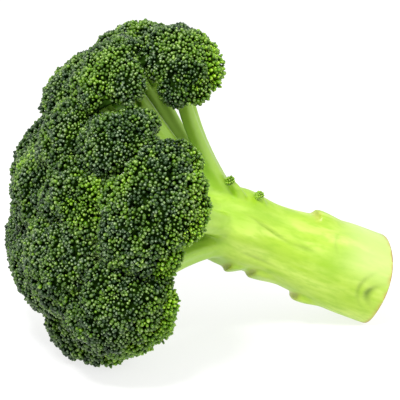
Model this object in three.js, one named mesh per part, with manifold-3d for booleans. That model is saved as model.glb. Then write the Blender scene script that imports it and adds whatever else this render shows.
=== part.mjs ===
// A head of broccoli as picked, lying on its side: a thick cut stalk, the branches that fan out of its top,
// and a floret of packed buds on each branch, which together make the domed crown.
//
// Row frame: millimetres, +Z up, the surface it lies on at Z = 0, the stalk's cut end towards +X.
// The origin is the middle of the bounding box, at its bottom.
//
// Everything is laid out in the head's own frame and turned once at the end. There the axis runs up +Z from
// the middle of the cut face (0, 0, 0) to the top of the crown, and +X is the side that ends up on top.
// A place round the axis is an azimuth: 0 is the upper side, 90 the back, 180 the underside, -90 the front.

import * as THREE from "three";
import { mergeVertices } from "three/addons/utils/BufferGeometryUtils.js";
import Module from "manifold-3d";

const wasm = await Module();
wasm.setup();

const { degToRad, lerp, smoothstep } = THREE.MathUtils;

// ---- The whole head ----
const TILT = 25.2; // how steeply the axis climbs from the cut end to the crown, in degrees
const GAP = 0.3; // clearance between neighbouring solids

// ---- Crown: half an ellipsoid that every floret touches from inside ----
const CROWN_RADIUS = 87;
const CROWN_HEIGHT = 55; // from the widest plane to the top
const CROWN_WAIST = 137; // from the cut face to the widest plane
const FORK = new THREE.Vector3(0, 0, 96); // the point that the florets radiate from

// Where each floret stands and how big it is: its azimuth round the axis, how far it leans from the axis, its
// half widths round the axis and along it, how far it stands proud of the crown, and how far up the stalk its
// branch leaves.
const FLORETS = [
  { name: "rim_top", azimuth: -8, lean: 52, across: 28, along: 23, proud: 1, root: 78 },
  { name: "rim_front", azimuth: -87, lean: 47, across: 36, along: 26, proud: 4, root: 80 },
  { name: "rim_front_low", azimuth: -131, lean: 57, across: 34, along: 27, proud: 4, root: 75 },
  { name: "rim_under", azimuth: -175, lean: 72, across: 33, along: 25, proud: 2, root: 79 },
  { name: "rim_back_low", azimuth: 133, lean: 53, across: 35, along: 27, proud: 4, root: 75 },
  { name: "rim_back", azimuth: 80, lean: 51, across: 34, along: 26, proud: 1, root: 80 },
  { name: "rim_back_top", azimuth: 34, lean: 51, across: 31, along: 26, proud: 2, root: 77 },
  { name: "shoulder_top", azimuth: -6, lean: 31, across: 33, along: 31, proud: 6, root: 90 },
  { name: "shoulder_front", azimuth: -58, lean: 26, across: 25, along: 24, proud: 0, root: 93 },
  { name: "shoulder_low", azimuth: -146, lean: 32, across: 33, along: 31, proud: 2, root: 89 },
  { name: "shoulder_under", azimuth: 166, lean: 38, across: 33, along: 30, proud: -2, root: 92 },
  { name: "shoulder_back", azimuth: 104, lean: 31, across: 33, along: 32, proud: 1, root: 90 },
  { name: "shoulder_back_top", azimuth: 46, lean: 30, across: 32, along: 31, proud: 3, root: 93 },
  { name: "heart_front", azimuth: -104, lean: 19, across: 31, along: 31, proud: 1, root: 96 },
  { name: "heart_top", azimuth: -15, lean: 9, across: 31, along: 31, proud: 2, root: 99 },
  { name: "heart_back", azimuth: 140, lean: 13, across: 31, along: 31, proud: 1, root: 98 },
];

const FLORET = {
  detail: 4, // subdivisions of the sphere that a floret is pulled out of
  height: 26, // from its widest plane to the top of its buds
  under: 15, // from its widest plane to its underside
  lumps: 9, // broad swellings on one floret
  lumpHeight: 0.05, // share of its size
  lumpWidth: 0.42, // radians
};

const BRANCH = {
  sides: 10,
  rings: 9,
  start: 0.5, // how far from the axis it starts, as a share of the stalk's radius there
  rise: 24, // how far it climbs beside the stalk before it leans out
  splay: 5.3, // how far it moves away from the axis on that climb
  reach: 11, // it ends this far below the middle of its floret
  flatness: 0.8, // thickness over width
};
// Half widths of a branch where it leaves the stalk, at its slimmest, and under its floret.
const RIM_WIDTHS = [8.6, 7.2, 9.5];
const INNER_WIDTHS = [6.4, 5.4, 7.5];
const LOWEST_INNER_ROOT = 88; // branches that leave the stalk above here are the inner, slimmer ones

// ---- Stalk ----
const STALK = {
  sides: 28,
  rings: 18,
  length: 116,
  ridges: 5, // the soft ribs that run up it and into the branches
  ridgeHeight: 1.1,
  ribTwist: 1.2, // how far the ribs wind round it, in radians of their own wave
  ribStart: 0.1, // shares of its length between which the ribs grow to full height
  ribFull: 0.7,
  cut: 6, // the cut is this far off square, in degrees
};
// Radius of the stalk against the distance from its cut face.
const STALK_OUTLINE = new THREE.SplineCurve([
  new THREE.Vector2(0, 22.4),
  new THREE.Vector2(24, 21.8),
  new THREE.Vector2(44, 19.8),
  new THREE.Vector2(64, 18.2),
  new THREE.Vector2(84, 19.4),
  new THREE.Vector2(102, 15.0),
  new THREE.Vector2(116, 8),
]);

// Leaf stubs: what is left of each leaf's stem, a ramp that climbs towards the crown and ends in a step.
const LEAF_STUBS = [
  { name: "leaf_stub_top", azimuth: -8, foot: 24, length: 20, width: 15, height: 3.0 },
  { name: "leaf_stub_under", azimuth: -170, foot: 20, length: 18, width: 15, height: 3.2 },
  { name: "leaf_stub_middle_under", azimuth: -160, foot: 45, length: 21, width: 15, height: 2.6 },
  { name: "leaf_stub_upper_under", azimuth: -156, foot: 67, length: 13, width: 12, height: 3.0 },
  { name: "leaf_stub_back", azimuth: 98, foot: 38, length: 20, width: 15, height: 3.0 },
];

const STUB = {
  sunk: 4, // how far the wedge starts below the stalk's surface, before the stalk is cut out of it
  crest: 0.86, // the ramp is highest at this share of its length
  step: 0.8, // height of the step over the height of the crest
  crown: 0.16, // how much nearer the axis its edges are than its middle, as a share of the radius
  footWidth: 0.55, // half widths at its foot and at its step, as shares of its width
  stepWidth: 0.5,
  slices: 4, // across its width
};

// Side shoots: small late florets on short stems. Each comes out of the stalk at its root and ends in a ball of
// buds, at a height and at a distance from the axis.
const SIDE_SHOOTS = [
  { name: "side_shoot_high", azimuth: -26, root: 86, height: 99, distance: 25, width: 2.6, ball: 3.2 },
  { name: "side_shoot_low", azimuth: -22, root: 72, height: 80, distance: 22, width: 2.4, ball: 3.0 },
];

const SHOOT = {
  rootDepth: 9, // how much nearer the axis its root is than its tip
  bend: 2, // how much nearer the axis its middle is than its tip
  taper: 0.8, // half width at the tip over half width at the root
  sides: 8,
  rings: 4,
  ballDetail: 2, // subdivisions of its ball of buds
};

const COLOURS = {
  stalk: { color: 0xb4dc50, roughness: 0.45 },
  branch: { color: 0xa6d05a, roughness: 0.5 },
  leafStub: { color: 0xa9cf4c, roughness: 0.5 },
  buds: { color: 0x38562a, roughness: 0.6 },
};

// ---- Helpers ----

/** A closed geometry as a manifold-3d solid. */
function solidOf(geometry) {
  const bare = geometry.clone();
  bare.deleteAttribute("normal");
  bare.deleteAttribute("uv");
  const merged = mergeVertices(bare, 1e-4);
  return new wasm.Manifold(
    new wasm.Mesh({
      numProp: 3,
      vertProperties: new Float32Array(merged.attributes.position.array),
      triVerts: new Uint32Array(merged.index.array),
    }),
  );
}

/** The largest piece of a manifold-3d solid, as a geometry. */
function geometryOf(solid) {
  const pieces = solid.decompose();
  const largest = pieces.reduce((a, b) => (b.volume() > a.volume() ? b : a));
  const mesh = largest.getMesh();
  const geometry = new THREE.BufferGeometry();
  geometry.setAttribute("position", new THREE.BufferAttribute(mesh.vertProperties, 3));
  geometry.setIndex(new THREE.BufferAttribute(mesh.triVerts, 1));
  geometry.computeVertexNormals();
  return geometry;
}

/** A solid with every other solid that reaches it cut away. */
function cutBy(solid, others) {
  const box = solid.boundingBox();
  const reaches = (other) => {
    const b = other.boundingBox();
    return [0, 1, 2].every((k) => b.min[k] < box.max[k] && b.max[k] > box.min[k]);
  };
  return others.filter(reaches).reduce((left, other) => left.subtract(other), solid);
}

/** Moves every vertex of a geometry to what place(vertex) returns. */
function reshape(geometry, place) {
  const position = geometry.attributes.position;
  const vertex = new THREE.Vector3();
  for (let i = 0; i < position.count; i++) {
    const moved = place(vertex.fromBufferAttribute(position, i));
    position.setXYZ(i, moved.x, moved.y, moved.z);
  }
  return geometry;
}

/** The point at a distance from the axis, an azimuth and a height up the axis. */
function aroundAxis(radius, azimuth, height) {
  const angle = degToRad(azimuth);
  return new THREE.Vector3(radius * Math.cos(angle), radius * Math.sin(angle), height);
}

/** Directions spread evenly over a sphere, by the golden angle. */
function spreadDirections(count) {
  const golden = Math.PI * (3 - Math.sqrt(5));
  return Array.from({ length: count }, (_, i) => {
    const z = 1 - (2 * i + 1) / count;
    const side = Math.sqrt(1 - z * z);
    return new THREE.Vector3(side * Math.cos(i * golden), side * Math.sin(i * golden), z);
  });
}

function meshOf(name, solid, finish) {
  const mesh = new THREE.Mesh(geometryOf(solid), new THREE.MeshStandardMaterial({ ...finish, metalness: 0 }));
  mesh.name = name;
  return mesh;
}

// ---- Stalk ----

/** Radius of the stalk at a height and an angle: its outline, with ribs that grow towards the crown. */
function stalkRadius(height, angle) {
  const share = THREE.MathUtils.clamp(height / STALK.length, 0, 1);
  const outline = STALK_OUTLINE.getPoint(outlineShare(share * STALK.length)).y;
  const ribs = Math.cos(STALK.ridges * angle + STALK.ribTwist * share);
  return outline + STALK.ridgeHeight * smoothstep(share, STALK.ribStart, STALK.ribFull) * ribs;
}

/** The share along the outline's points at which it reaches a height. */
function outlineShare(height) {
  const points = STALK_OUTLINE.points;
  const next = Math.max(1, points.findIndex((p) => p.x >= height));
  const [a, b] = [points[next - 1], points[next]];
  return (next - 1 + (height - a.x) / (b.x - a.x)) / (points.length - 1);
}

/** The stalk, made fatter by grow. Its foot is cut a little off square. */
function stalkSolid(grow = 0) {
  const bar = new THREE.CylinderGeometry(1, 1, 1, STALK.sides, STALK.rings);
  const slope = Math.tan(degToRad(STALK.cut));
  const place = (v) => {
    const share = v.y + 0.5;
    const height = share * STALK.length;
    const angle = Math.atan2(v.x, v.z);
    const radius = Math.hypot(v.x, v.z) * (stalkRadius(height, angle) + grow);
    const p = aroundAxis(radius, THREE.MathUtils.radToDeg(angle), height + (share > 0.5 ? grow : -grow));
    p.z += (1 - share) * slope * p.x;
    return p;
  };
  return solidOf(reshape(bar, place));
}

// ---- Branches ----

/** Where a floret is: its middle, the way it faces, and the direction from the fork that it grew in. */
function floretPlace({ azimuth, lean, proud }) {
  const direction = aroundAxis(Math.sin(degToRad(lean)), azimuth, Math.cos(degToRad(lean)));
  const drop = CROWN_WAIST - FORK.z;
  // The distance from the fork to the crown along that direction, from the ellipsoid's equation.
  const square = (1 - direction.z ** 2) / CROWN_RADIUS ** 2 + direction.z ** 2 / CROWN_HEIGHT ** 2;
  const linear = (drop * direction.z) / CROWN_HEIGHT ** 2;
  const constant = (drop / CROWN_HEIGHT) ** 2 - 1;
  const distance = (linear + Math.sqrt(linear ** 2 - square * constant)) / square;
  const top = FORK.clone().addScaledVector(direction, distance);
  const facing = new THREE.Vector3(
    top.x / CROWN_RADIUS ** 2,
    top.y / CROWN_RADIUS ** 2,
    (top.z - CROWN_WAIST) / CROWN_HEIGHT ** 2,
  ).normalize();
  const middle = top.clone().addScaledVector(facing, proud - FLORET.height);
  return { middle, facing, direction };
}

/** The line of a branch: it starts inside the stalk, climbs beside it and leans out to its floret. */
function branchCurve(floret) {
  const { middle, facing } = floretPlace(floret);
  const start = BRANCH.start * STALK_OUTLINE.getPoint(outlineShare(floret.root)).y;
  const end = middle.clone().addScaledVector(facing, -BRANCH.reach);
  return new THREE.QuadraticBezierCurve3(
    aroundAxis(start, floret.azimuth, floret.root),
    aroundAxis(start + BRANCH.splay, floret.azimuth, floret.root + BRANCH.rise),
    end,
  );
}

/** A tapered bar bent along a curve that lies in the plane of the axis and an azimuth. */
function bentBar(curve, azimuth, widths, sides, rings, flatness, grow = 0) {
  const bar = new THREE.CylinderGeometry(1, 1, 1, sides, rings);
  const across = aroundAxis(1, azimuth + 90, 0);
  const place = (v) => {
    const share = v.y + 0.5;
    const tangent = curve.getTangent(share);
    const outward = new THREE.Vector3().crossVectors(across, tangent);
    const [foot, waist, top] = widths;
    const width = share < 0.5 ? lerp(foot, waist, 2 * share) : lerp(waist, top, 2 * share - 1);
    return curve
      .getPoint(share)
      .addScaledVector(across, v.x * (width + grow))
      .addScaledVector(outward, v.z * (flatness * width + grow))
      .addScaledVector(tangent, share > 0.5 ? grow : -grow);
  };
  return solidOf(reshape(bar, place));
}

function branchSolid(floret, grow = 0) {
  const widths = floret.root < LOWEST_INNER_ROOT ? RIM_WIDTHS : INNER_WIDTHS;
  return bentBar(
    branchCurve(floret),
    floret.azimuth,
    widths,
    BRANCH.sides,
    BRANCH.rings,
    BRANCH.flatness,
    grow,
  );
}

// ---- Florets ----

/**
 * A floret: a low dome of buds with broad swellings and a flatter underside, cut along the plane that parts it
 * from each neighbour. Every such plane runs through the fork.
 */
function floretSolid(floret) {
  const { middle, facing, direction } = floretPlace(floret);
  const across = aroundAxis(1, floret.azimuth + 90, 0);
  const along = new THREE.Vector3().crossVectors(facing, across);
  const lumps = spreadDirections(FLORET.lumps).map((d) => d.applyAxisAngle(facing, floret.azimuth));
  const place = (v) => {
    const ray = v.clone().normalize();
    const swell = Math.max(...lumps.map((d) => Math.exp(-((ray.angleTo(d) / FLORET.lumpWidth) ** 2))));
    const rise = ray.dot(facing);
    const height = rise > 0 ? FLORET.height : FLORET.under;
    const reach = 1 / Math.hypot(ray.dot(across) / floret.across, ray.dot(along) / floret.along, rise / height);
    return ray.multiplyScalar(reach * (1 - FLORET.lumpHeight * (1 - swell))).add(middle);
  };
  const dome = solidOf(reshape(new THREE.IcosahedronGeometry(1, FLORET.detail), place));
  return FLORETS.filter((other) => other !== floret).reduce((left, other) => {
    const normal = direction.clone().sub(floretPlace(other).direction).normalize();
    return left.trimByPlane(normal.toArray(), FORK.dot(normal) + GAP / 2);
  }, dome);
}

// ---- Leaf stubs and side shoots ----

/** A ramp on the stalk: a wedge whose step faces the crown, turned to its azimuth. */
function leafStubSolid({ azimuth, foot, length, width, height }) {
  const seat = STALK_OUTLINE.getPoint(outlineShare(foot + length)).y;
  const profile = new THREE.Shape([
    new THREE.Vector2(seat - STUB.sunk, foot),
    new THREE.Vector2(STALK_OUTLINE.getPoint(outlineShare(foot)).y, foot),
    new THREE.Vector2(seat + height, foot + STUB.crest * length),
    new THREE.Vector2(seat + STUB.step * height, foot + length),
    new THREE.Vector2(seat - STUB.sunk, foot + length),
  ]);
  const wedge = new THREE.ExtrudeGeometry(profile, { depth: 1, steps: STUB.slices, bevelEnabled: false });
  const turn = degToRad(azimuth);
  const place = (v) => {
    const across = 1 - 2 * v.z;
    const crowned = (1 - STUB.crown * across * across) * v.x;
    const halfWidth = lerp(STUB.footWidth, STUB.stepWidth, smoothstep(v.y, foot, foot + length));
    const side = across * width * halfWidth;
    return new THREE.Vector3(
      crowned * Math.cos(turn) - side * Math.sin(turn),
      crowned * Math.sin(turn) + side * Math.cos(turn),
      v.y,
    );
  };
  return solidOf(reshape(wedge, place));
}

/** The line of a side shoot's stem, from inside the stalk up and out. */
function shootCurve({ azimuth, root, height, distance }) {
  return new THREE.QuadraticBezierCurve3(
    aroundAxis(distance - SHOOT.rootDepth, azimuth, root),
    aroundAxis(distance - SHOOT.bend, azimuth, (root + height) / 2),
    aroundAxis(distance, azimuth, height),
  );
}

function shootStemSolid(shoot, grow = 0) {
  const widths = [shoot.width, shoot.width, SHOOT.taper * shoot.width];
  return bentBar(shootCurve(shoot), shoot.azimuth, widths, SHOOT.sides, SHOOT.rings, 1, grow);
}

function shootBudsSolid(shoot) {
  const tip = shootCurve(shoot).getPoint(1);
  const ball = new THREE.IcosahedronGeometry(shoot.ball, SHOOT.ballDetail);
  return solidOf(reshape(ball, (v) => v.clone().add(tip)));
}

// ---- Assembly ----

const head = new THREE.Group();
const turn = degToRad(TILT);
const slope = Math.tan(degToRad(STALK.cut));
const footRadius = stalkRadius(0, Math.PI);
// The lowest point of the cut rim touches the surface that the head lies on.
const cutHeight = footRadius * (Math.cos(turn) + slope * Math.sin(turn));

/** The space under the surface that the head lies on, in the head's own frame. */
function groundSolid() {
  const depth = CROWN_RADIUS;
  const reach = 6 * CROWN_RADIUS;
  const ground = new THREE.BoxGeometry(reach, reach, depth);
  ground.translate(0, 0, -cutHeight - depth / 2);
  ground.rotateY(Math.PI / 2 - turn);
  return solidOf(ground);
}

const ground = groundSolid();
const taken = [stalkSolid(GAP)]; // what the pieces that follow are cut back from

head.add(meshOf("stalk", cutBy(stalkSolid(), [ground]), COLOURS.stalk));

for (const floret of FLORETS) {
  head.add(meshOf(`branch_${floret.name}`, cutBy(branchSolid(floret), taken), COLOURS.branch));
  taken.push(branchSolid(floret, GAP));
}
for (const shoot of SIDE_SHOOTS) {
  head.add(meshOf(`${shoot.name}_stem`, cutBy(shootStemSolid(shoot), taken), COLOURS.branch));
  taken.push(shootStemSolid(shoot, GAP));
}
for (const stub of LEAF_STUBS) {
  head.add(meshOf(stub.name, cutBy(leafStubSolid(stub), taken), COLOURS.leafStub));
}
for (const shoot of SIDE_SHOOTS) {
  head.add(meshOf(`${shoot.name}_buds`, cutBy(shootBudsSolid(shoot), taken), COLOURS.buds));
}
for (const floret of FLORETS) {
  head.add(meshOf(`floret_${floret.name}`, cutBy(floretSolid(floret), [...taken, ground]), COLOURS.buds));
}

// Lay the head down, then put the middle of its bounding box over the origin.
head.rotation.y = turn - Math.PI / 2;
head.position.z = cutHeight;
const broccoli = new THREE.Group();
broccoli.add(head);
broccoli.updateMatrixWorld(true);
const middle = new THREE.Box3().setFromObject(broccoli, true).getCenter(new THREE.Vector3());
head.position.x -= middle.x;
head.position.y -= middle.y;

export default broccoli;
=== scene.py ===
"""A broccoli head lying on its side: waxy buds on small lobes, on stems that branch from a cut stalk.

Everything is laid out in millimetres in the head's own frame, where the axis runs up +Z from the middle of
the cut face and +X is the side that ends up on top. HeadFrame turns it into metres in the row frame.
A place round the axis is an azimuth in degrees: 0 is the upper side, 90 the back, 180 the underside and -90
the front.
"""

from __future__ import annotations

import logging
from dataclasses import dataclass, field
from enum import Enum, IntEnum
from typing import Sequence

import bpy
import numpy as np
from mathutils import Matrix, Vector

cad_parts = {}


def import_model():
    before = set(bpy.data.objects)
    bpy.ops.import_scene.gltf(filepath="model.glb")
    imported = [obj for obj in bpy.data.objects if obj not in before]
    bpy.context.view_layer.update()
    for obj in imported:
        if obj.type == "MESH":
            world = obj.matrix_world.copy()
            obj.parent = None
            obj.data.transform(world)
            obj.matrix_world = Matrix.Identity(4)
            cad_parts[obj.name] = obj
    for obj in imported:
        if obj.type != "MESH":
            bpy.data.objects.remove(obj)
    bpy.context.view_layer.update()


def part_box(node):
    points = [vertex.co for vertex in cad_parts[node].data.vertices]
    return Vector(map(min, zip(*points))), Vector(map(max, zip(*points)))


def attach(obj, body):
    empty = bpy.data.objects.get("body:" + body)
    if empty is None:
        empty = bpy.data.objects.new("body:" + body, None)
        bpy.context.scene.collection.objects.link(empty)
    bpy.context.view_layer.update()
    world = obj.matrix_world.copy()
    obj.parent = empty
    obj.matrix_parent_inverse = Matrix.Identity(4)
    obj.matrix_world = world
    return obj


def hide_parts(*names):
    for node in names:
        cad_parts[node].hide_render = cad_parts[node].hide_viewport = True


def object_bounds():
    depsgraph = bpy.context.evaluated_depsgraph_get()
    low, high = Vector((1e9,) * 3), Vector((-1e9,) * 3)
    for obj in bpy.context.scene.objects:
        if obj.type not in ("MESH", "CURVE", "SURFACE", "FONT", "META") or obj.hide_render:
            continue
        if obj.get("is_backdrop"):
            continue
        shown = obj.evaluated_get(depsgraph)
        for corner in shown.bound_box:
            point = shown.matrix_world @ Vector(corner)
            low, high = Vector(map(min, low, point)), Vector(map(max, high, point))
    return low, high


log = logging.getLogger("broccoli")

MM = 0.001
BODY = "root"
MAP_NAME = "OFBake"  # the map that finishes of many small shapes read: freshness across, and up the place from foot to tip, along which the colour ramps paint shade at the buds' feet and the stems' tips and a highlight at the buds' tips
SEED = 20
TILT = 25.2  # how far the head's axis rises over the floor towards the crown, in degrees


class Slot(Enum):
    """The record's material slots."""

    STALK = "stalk_skin"
    BRANCH = "branch_skin"
    BUDS = "buds"


# ---------------------------------------------------------------- numbers and surfaces


def unit(vectors: np.ndarray) -> np.ndarray:
    """The vectors at length one, along the last axis."""
    return vectors / np.maximum(np.linalg.norm(vectors, axis=-1, keepdims=True), 1e-12)


def smoothstep(values: np.ndarray, low: float, high: float) -> np.ndarray:
    """0 below low and 1 above high, with a smooth rise 3s^2 - 2s^3 between."""
    share = np.clip((np.asarray(values, float) - low) / (high - low), 0.0, 1.0)
    return share * share * (3.0 - 2.0 * share)


def around_axis(radius: np.ndarray, azimuth: np.ndarray, height: np.ndarray) -> np.ndarray:
    """Points (radius cos azimuth, radius sin azimuth, height), with the azimuth in degrees."""
    angle = np.radians(azimuth)
    parts = np.broadcast_arrays(radius * np.cos(angle), radius * np.sin(angle), height)
    return np.stack(parts, axis=-1).astype(float)


def spread(count: int) -> np.ndarray:
    """Directions spread evenly over a sphere: even steps in height, each turned on by the golden angle."""
    step = np.arange(count)
    height = 1.0 - (2.0 * step + 1.0) / count
    turn = step * np.pi * (3.0 - np.sqrt(5.0))
    side = np.sqrt(1.0 - height**2)
    return np.stack([side * np.cos(turn), side * np.sin(turn), height], axis=-1)


class Draws(IntEnum):
    """What is added to SEED, so that each kind of random draw has numbers of its own."""

    TUFTS = 1
    BUDS = 100
    LIMBS = 300
    TWIGS = 400
    BUD_TURNS = 500


def circle(sides: int) -> np.ndarray:
    """Angles spread evenly round a circle, in radians."""
    return np.arange(sides) * 2.0 * np.pi / sides


def wrapped(degrees: np.ndarray) -> np.ndarray:
    """Angles brought to between -180 and 180 degrees."""
    return (degrees + 180.0) % 360.0 - 180.0


def room_on_sphere(radius: float, spacing: float) -> int:
    """How many places fit on a sphere: its area over the 0.866 spacing^2 that each takes, packed closely."""
    return int(4.0 * np.pi * radius**2 / (0.866 * spacing**2))


def beside(normals: np.ndarray) -> tuple[np.ndarray, np.ndarray]:
    """Two unit vectors square to each normal and to each other."""
    least = np.eye(3)[np.abs(normals).argmin(axis=-1)]
    first = unit(np.cross(least, normals))
    return first, np.cross(normals, first)


def turned(rays: np.ndarray, axes: np.ndarray, angle: np.ndarray | float = 0.0) -> np.ndarray:
    """Directions about +Z turned so that +Z becomes each axis, then about that axis.

    Args:
        rays: (..., 3) directions.
        axes: (..., 3) unit vectors that broadcast against them.
        angle: how far each is turned about its axis, in radians.

    Returns:
        The turned directions.
    """
    first, second = beside(axes)
    angle = np.asarray(angle)[..., None]
    across = np.cos(angle) * first + np.sin(angle) * second
    return rays[..., :1] * across + rays[..., 1:2] * np.cross(axes, across) + rays[..., 2:] * axes


def distances(points: np.ndarray, others: np.ndarray) -> np.ndarray:
    """Distance from every point to every other point, from |p|^2 + |q|^2 - 2 p.q."""
    squares = (points**2).sum(-1)[:, None] + (others**2).sum(-1) - 2.0 * points @ others.T
    return np.sqrt(np.maximum(squares, 0.0))


def bezier(controls: np.ndarray, shares: np.ndarray) -> np.ndarray:
    """Points of Bezier curves by repeated straight blends of neighbouring control points.

    Args:
        controls: (..., points, 3) control points.
        shares: (rings,) places along the curve, from 0 to 1.

    Returns:
        (..., rings, 3) points.
    """
    level = np.repeat(controls[..., None, :, :], len(shares), axis=-3)
    blend = shares[:, None, None]
    while level.shape[-2] > 1:
        level = (1.0 - blend) * level[..., :-1, :] + blend * level[..., 1:, :]
    return level[..., 0, :]


def ripple(points: np.ndarray, length: float, seed: int) -> np.ndarray:
    """A soft uneven number from -1 to 1 at each point: the mean of six sine waves in random directions."""
    random = np.random.default_rng(seed)
    waves = unit(random.normal(size=(6, 3))) * (2.0 * np.pi / length) * random.uniform(0.7, 1.5, (6, 1))
    return np.sin(points @ waves.T + random.uniform(0.0, 2.0 * np.pi, 6)).mean(axis=-1) * 1.8


def tube_faces(count: int, rings: int, sides: int) -> tuple[np.ndarray, np.ndarray]:
    """Faces of closed tubes whose points run ring by ring, then the first end's middle and the last end's.

    Args:
        count: how many tubes.
        rings: rings along each.
        sides: points round each ring.

    Returns:
        Quads (n, 4) and triangles (m, 3) of point numbers, pointing outwards.
    """
    ring, side = np.meshgrid(np.arange(rings - 1), np.arange(sides), indexing="ij")
    after = (side + 1) % sides
    quads = np.stack(
        [ring * sides + side, ring * sides + after, (ring + 1) * sides + after, (ring + 1) * sides + side],
        axis=-1,
    ).reshape(-1, 4)
    turn = np.arange(sides)
    foot, top = rings * sides, rings * sides + 1
    last = (rings - 1) * sides
    low = np.stack([(turn + 1) % sides, turn, np.full(sides, foot)], axis=-1)
    high = np.stack([last + turn, last + (turn + 1) % sides, np.full(sides, top)], axis=-1)
    triangles = np.concatenate([low, high])
    offsets = np.arange(count)[:, None, None] * (rings * sides + 2)
    return (quads + offsets).reshape(-1, 4), (triangles + offsets).reshape(-1, 3)


def tubes(paths: np.ndarray, radii: np.ndarray, sides: int, flatness: float = 1.0) -> np.ndarray:
    """Closed tubes: a ring of points round each path point, in a frame carried along without twist.

    Args:
        paths: (tubes, rings, 3) middle lines.
        radii: (tubes, rings) or (tubes, rings, sides) distances from the middle line.
        sides: points round each ring.
        flatness: thickness over width, across the frame's second direction.

    Returns:
        (tubes * (rings * sides + 2), 3) points in the order that tube_faces expects.
    """
    along = unit(np.gradient(paths, axis=1))
    across = [beside(along[:, 0])[0]]
    for ring in range(1, paths.shape[1]):
        carried = across[-1] - along[:, ring] * (across[-1] * along[:, ring]).sum(-1, keepdims=True)
        across.append(unit(carried))
    first = np.stack(across, axis=1)[:, :, None]
    second = np.cross(along, first[:, :, 0])[:, :, None] * flatness
    turn = circle(sides)
    reach = radii[..., None, None] if radii.ndim == 2 else radii[..., None]
    rings = paths[:, :, None] + reach * (np.cos(turn)[:, None] * first + np.sin(turn)[:, None] * second)
    ends = paths[:, [0, -1]]
    return np.concatenate([rings.reshape(len(paths), -1, 3), ends], axis=1).reshape(-1, 3)


@dataclass
class Surfaces:
    """Surfaces that become one mesh, with a place on the finish's map for each point."""

    points: list[np.ndarray] = field(default_factory=list)
    quads: list[np.ndarray] = field(default_factory=list)
    triangles: list[np.ndarray] = field(default_factory=list)
    places: list[np.ndarray] = field(default_factory=list)
    count: int = 0

    def add(self, points: np.ndarray, quads: np.ndarray, triangles: np.ndarray, places: np.ndarray) -> None:
        """Adds a surface, renumbering its faces."""
        self.points.append(points)
        self.quads.append(quads + self.count)
        self.triangles.append(triangles + self.count)
        self.places.append(np.broadcast_to(places, (len(points), 2)))
        self.count += len(points)

    def to_object(self, name: str, head: HeadFrame, material: bpy.types.Material) -> bpy.types.Object:
        """One smooth mesh object in the row frame, with its map.

        Args:
            name: the piece's name.
            head: where the head lies.
            material: its finish.

        Returns:
            The new object, linked to the scene.
        """
        faces = [np.concatenate(self.quads).reshape(-1), np.concatenate(self.triangles).reshape(-1)]
        sizes = [np.full(len(faces[0]) // 4, 4), np.full(len(faces[1]) // 3, 3)]
        points = head.to_row(np.concatenate(self.points))
        piece = mesh_object(name, points, np.concatenate(faces), np.concatenate(sizes), material)
        layer = piece.data.uv_layers.new(name=MAP_NAME)
        places = np.concatenate(self.places)[np.concatenate(faces)]
        layer.uv.foreach_set("vector", places.astype(np.float32).ravel())
        return piece


def mesh_object(
    name: str,
    points: np.ndarray,
    corners: np.ndarray,
    sizes: np.ndarray,
    material: bpy.types.Material | None,
) -> bpy.types.Object:
    """A mesh object from whole arrays.

    Args:
        name: its name.
        points: (n, 3) places in metres.
        corners: point numbers of all faces, one after another.
        sizes: how many corners each face has.
        material: its finish, or None.

    Returns:
        The new object, linked to the scene, shaded smooth.
    """
    mesh = bpy.data.meshes.new(name)
    mesh.vertices.add(len(points))
    mesh.vertices.foreach_set("co", points.astype(np.float32).ravel())
    mesh.loops.add(len(corners))
    mesh.loops.foreach_set("vertex_index", corners.astype(np.int32))
    mesh.polygons.add(len(sizes))
    starts = np.concatenate([[0], np.cumsum(sizes)[:-1]])
    mesh.polygons.foreach_set("loop_start", starts.astype(np.int32))
    mesh.polygons.foreach_set("use_smooth", np.ones(len(sizes), bool))
    mesh.update(calc_edges=True)
    if material is not None:
        mesh.materials.append(material)
    piece = bpy.data.objects.new(name, mesh)
    bpy.context.scene.collection.objects.link(piece)
    return piece


def write_attribute(mesh: bpy.types.Mesh, name: str, values: np.ndarray) -> None:
    """Stores one number per point under a name that a finish reads."""
    mesh.attributes.new(name, "FLOAT", "POINT").data.foreach_set("value", values.astype(np.float32))


# ---------------------------------------------------------------- where things are


@dataclass(frozen=True)
class StalkPlan:
    """Sizes of the stalk, in millimetres up from its cut face."""

    length: float = 116.0
    heights: tuple[float, ...] = (0.0, 24.0, 44.0, 64.0, 84.0, 102.0, 116.0)
    radii: tuple[float, ...] = (22.4, 21.8, 19.8, 18.2, 19.4, 15.0, 8.0)
    cut: float = 6.0  # the cut is this far off square, in degrees
    rib_height: float = 1.5
    rib_width: float = 17.0  # degrees
    corner: float = 1.9  # how far the stalk's one blunt corner stands out at the cut
    corner_azimuth: float = -148.0
    corner_width: float = 20.0  # degrees

    @property
    def slope(self) -> float:
        """How fast the cut face climbs towards the upper side."""
        return float(np.tan(np.radians(self.cut)))

    def radius(self, height: np.ndarray) -> np.ndarray:
        """The radius at a height: a smooth curve through the plan's radii.

        The slope at each planned height comes from its neighbours, and the curve between two heights is the
        cubic with those slopes.
        """
        places, values = np.array(self.heights), np.array(self.radii)
        slopes = np.gradient(values, places)
        height = np.clip(height, places[0], places[-1])
        cell = np.clip(np.searchsorted(places, height, side="right") - 1, 0, len(places) - 2)
        span = places[cell + 1] - places[cell]
        s = (height - places[cell]) / span
        start = (2 * s**3 - 3 * s**2 + 1) * values[cell] + (s**3 - 2 * s**2 + s) * span * slopes[cell]
        end = (3 * s**2 - 2 * s**3) * values[cell + 1] + (s**3 - s**2) * span * slopes[cell + 1]
        return start + end


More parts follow.
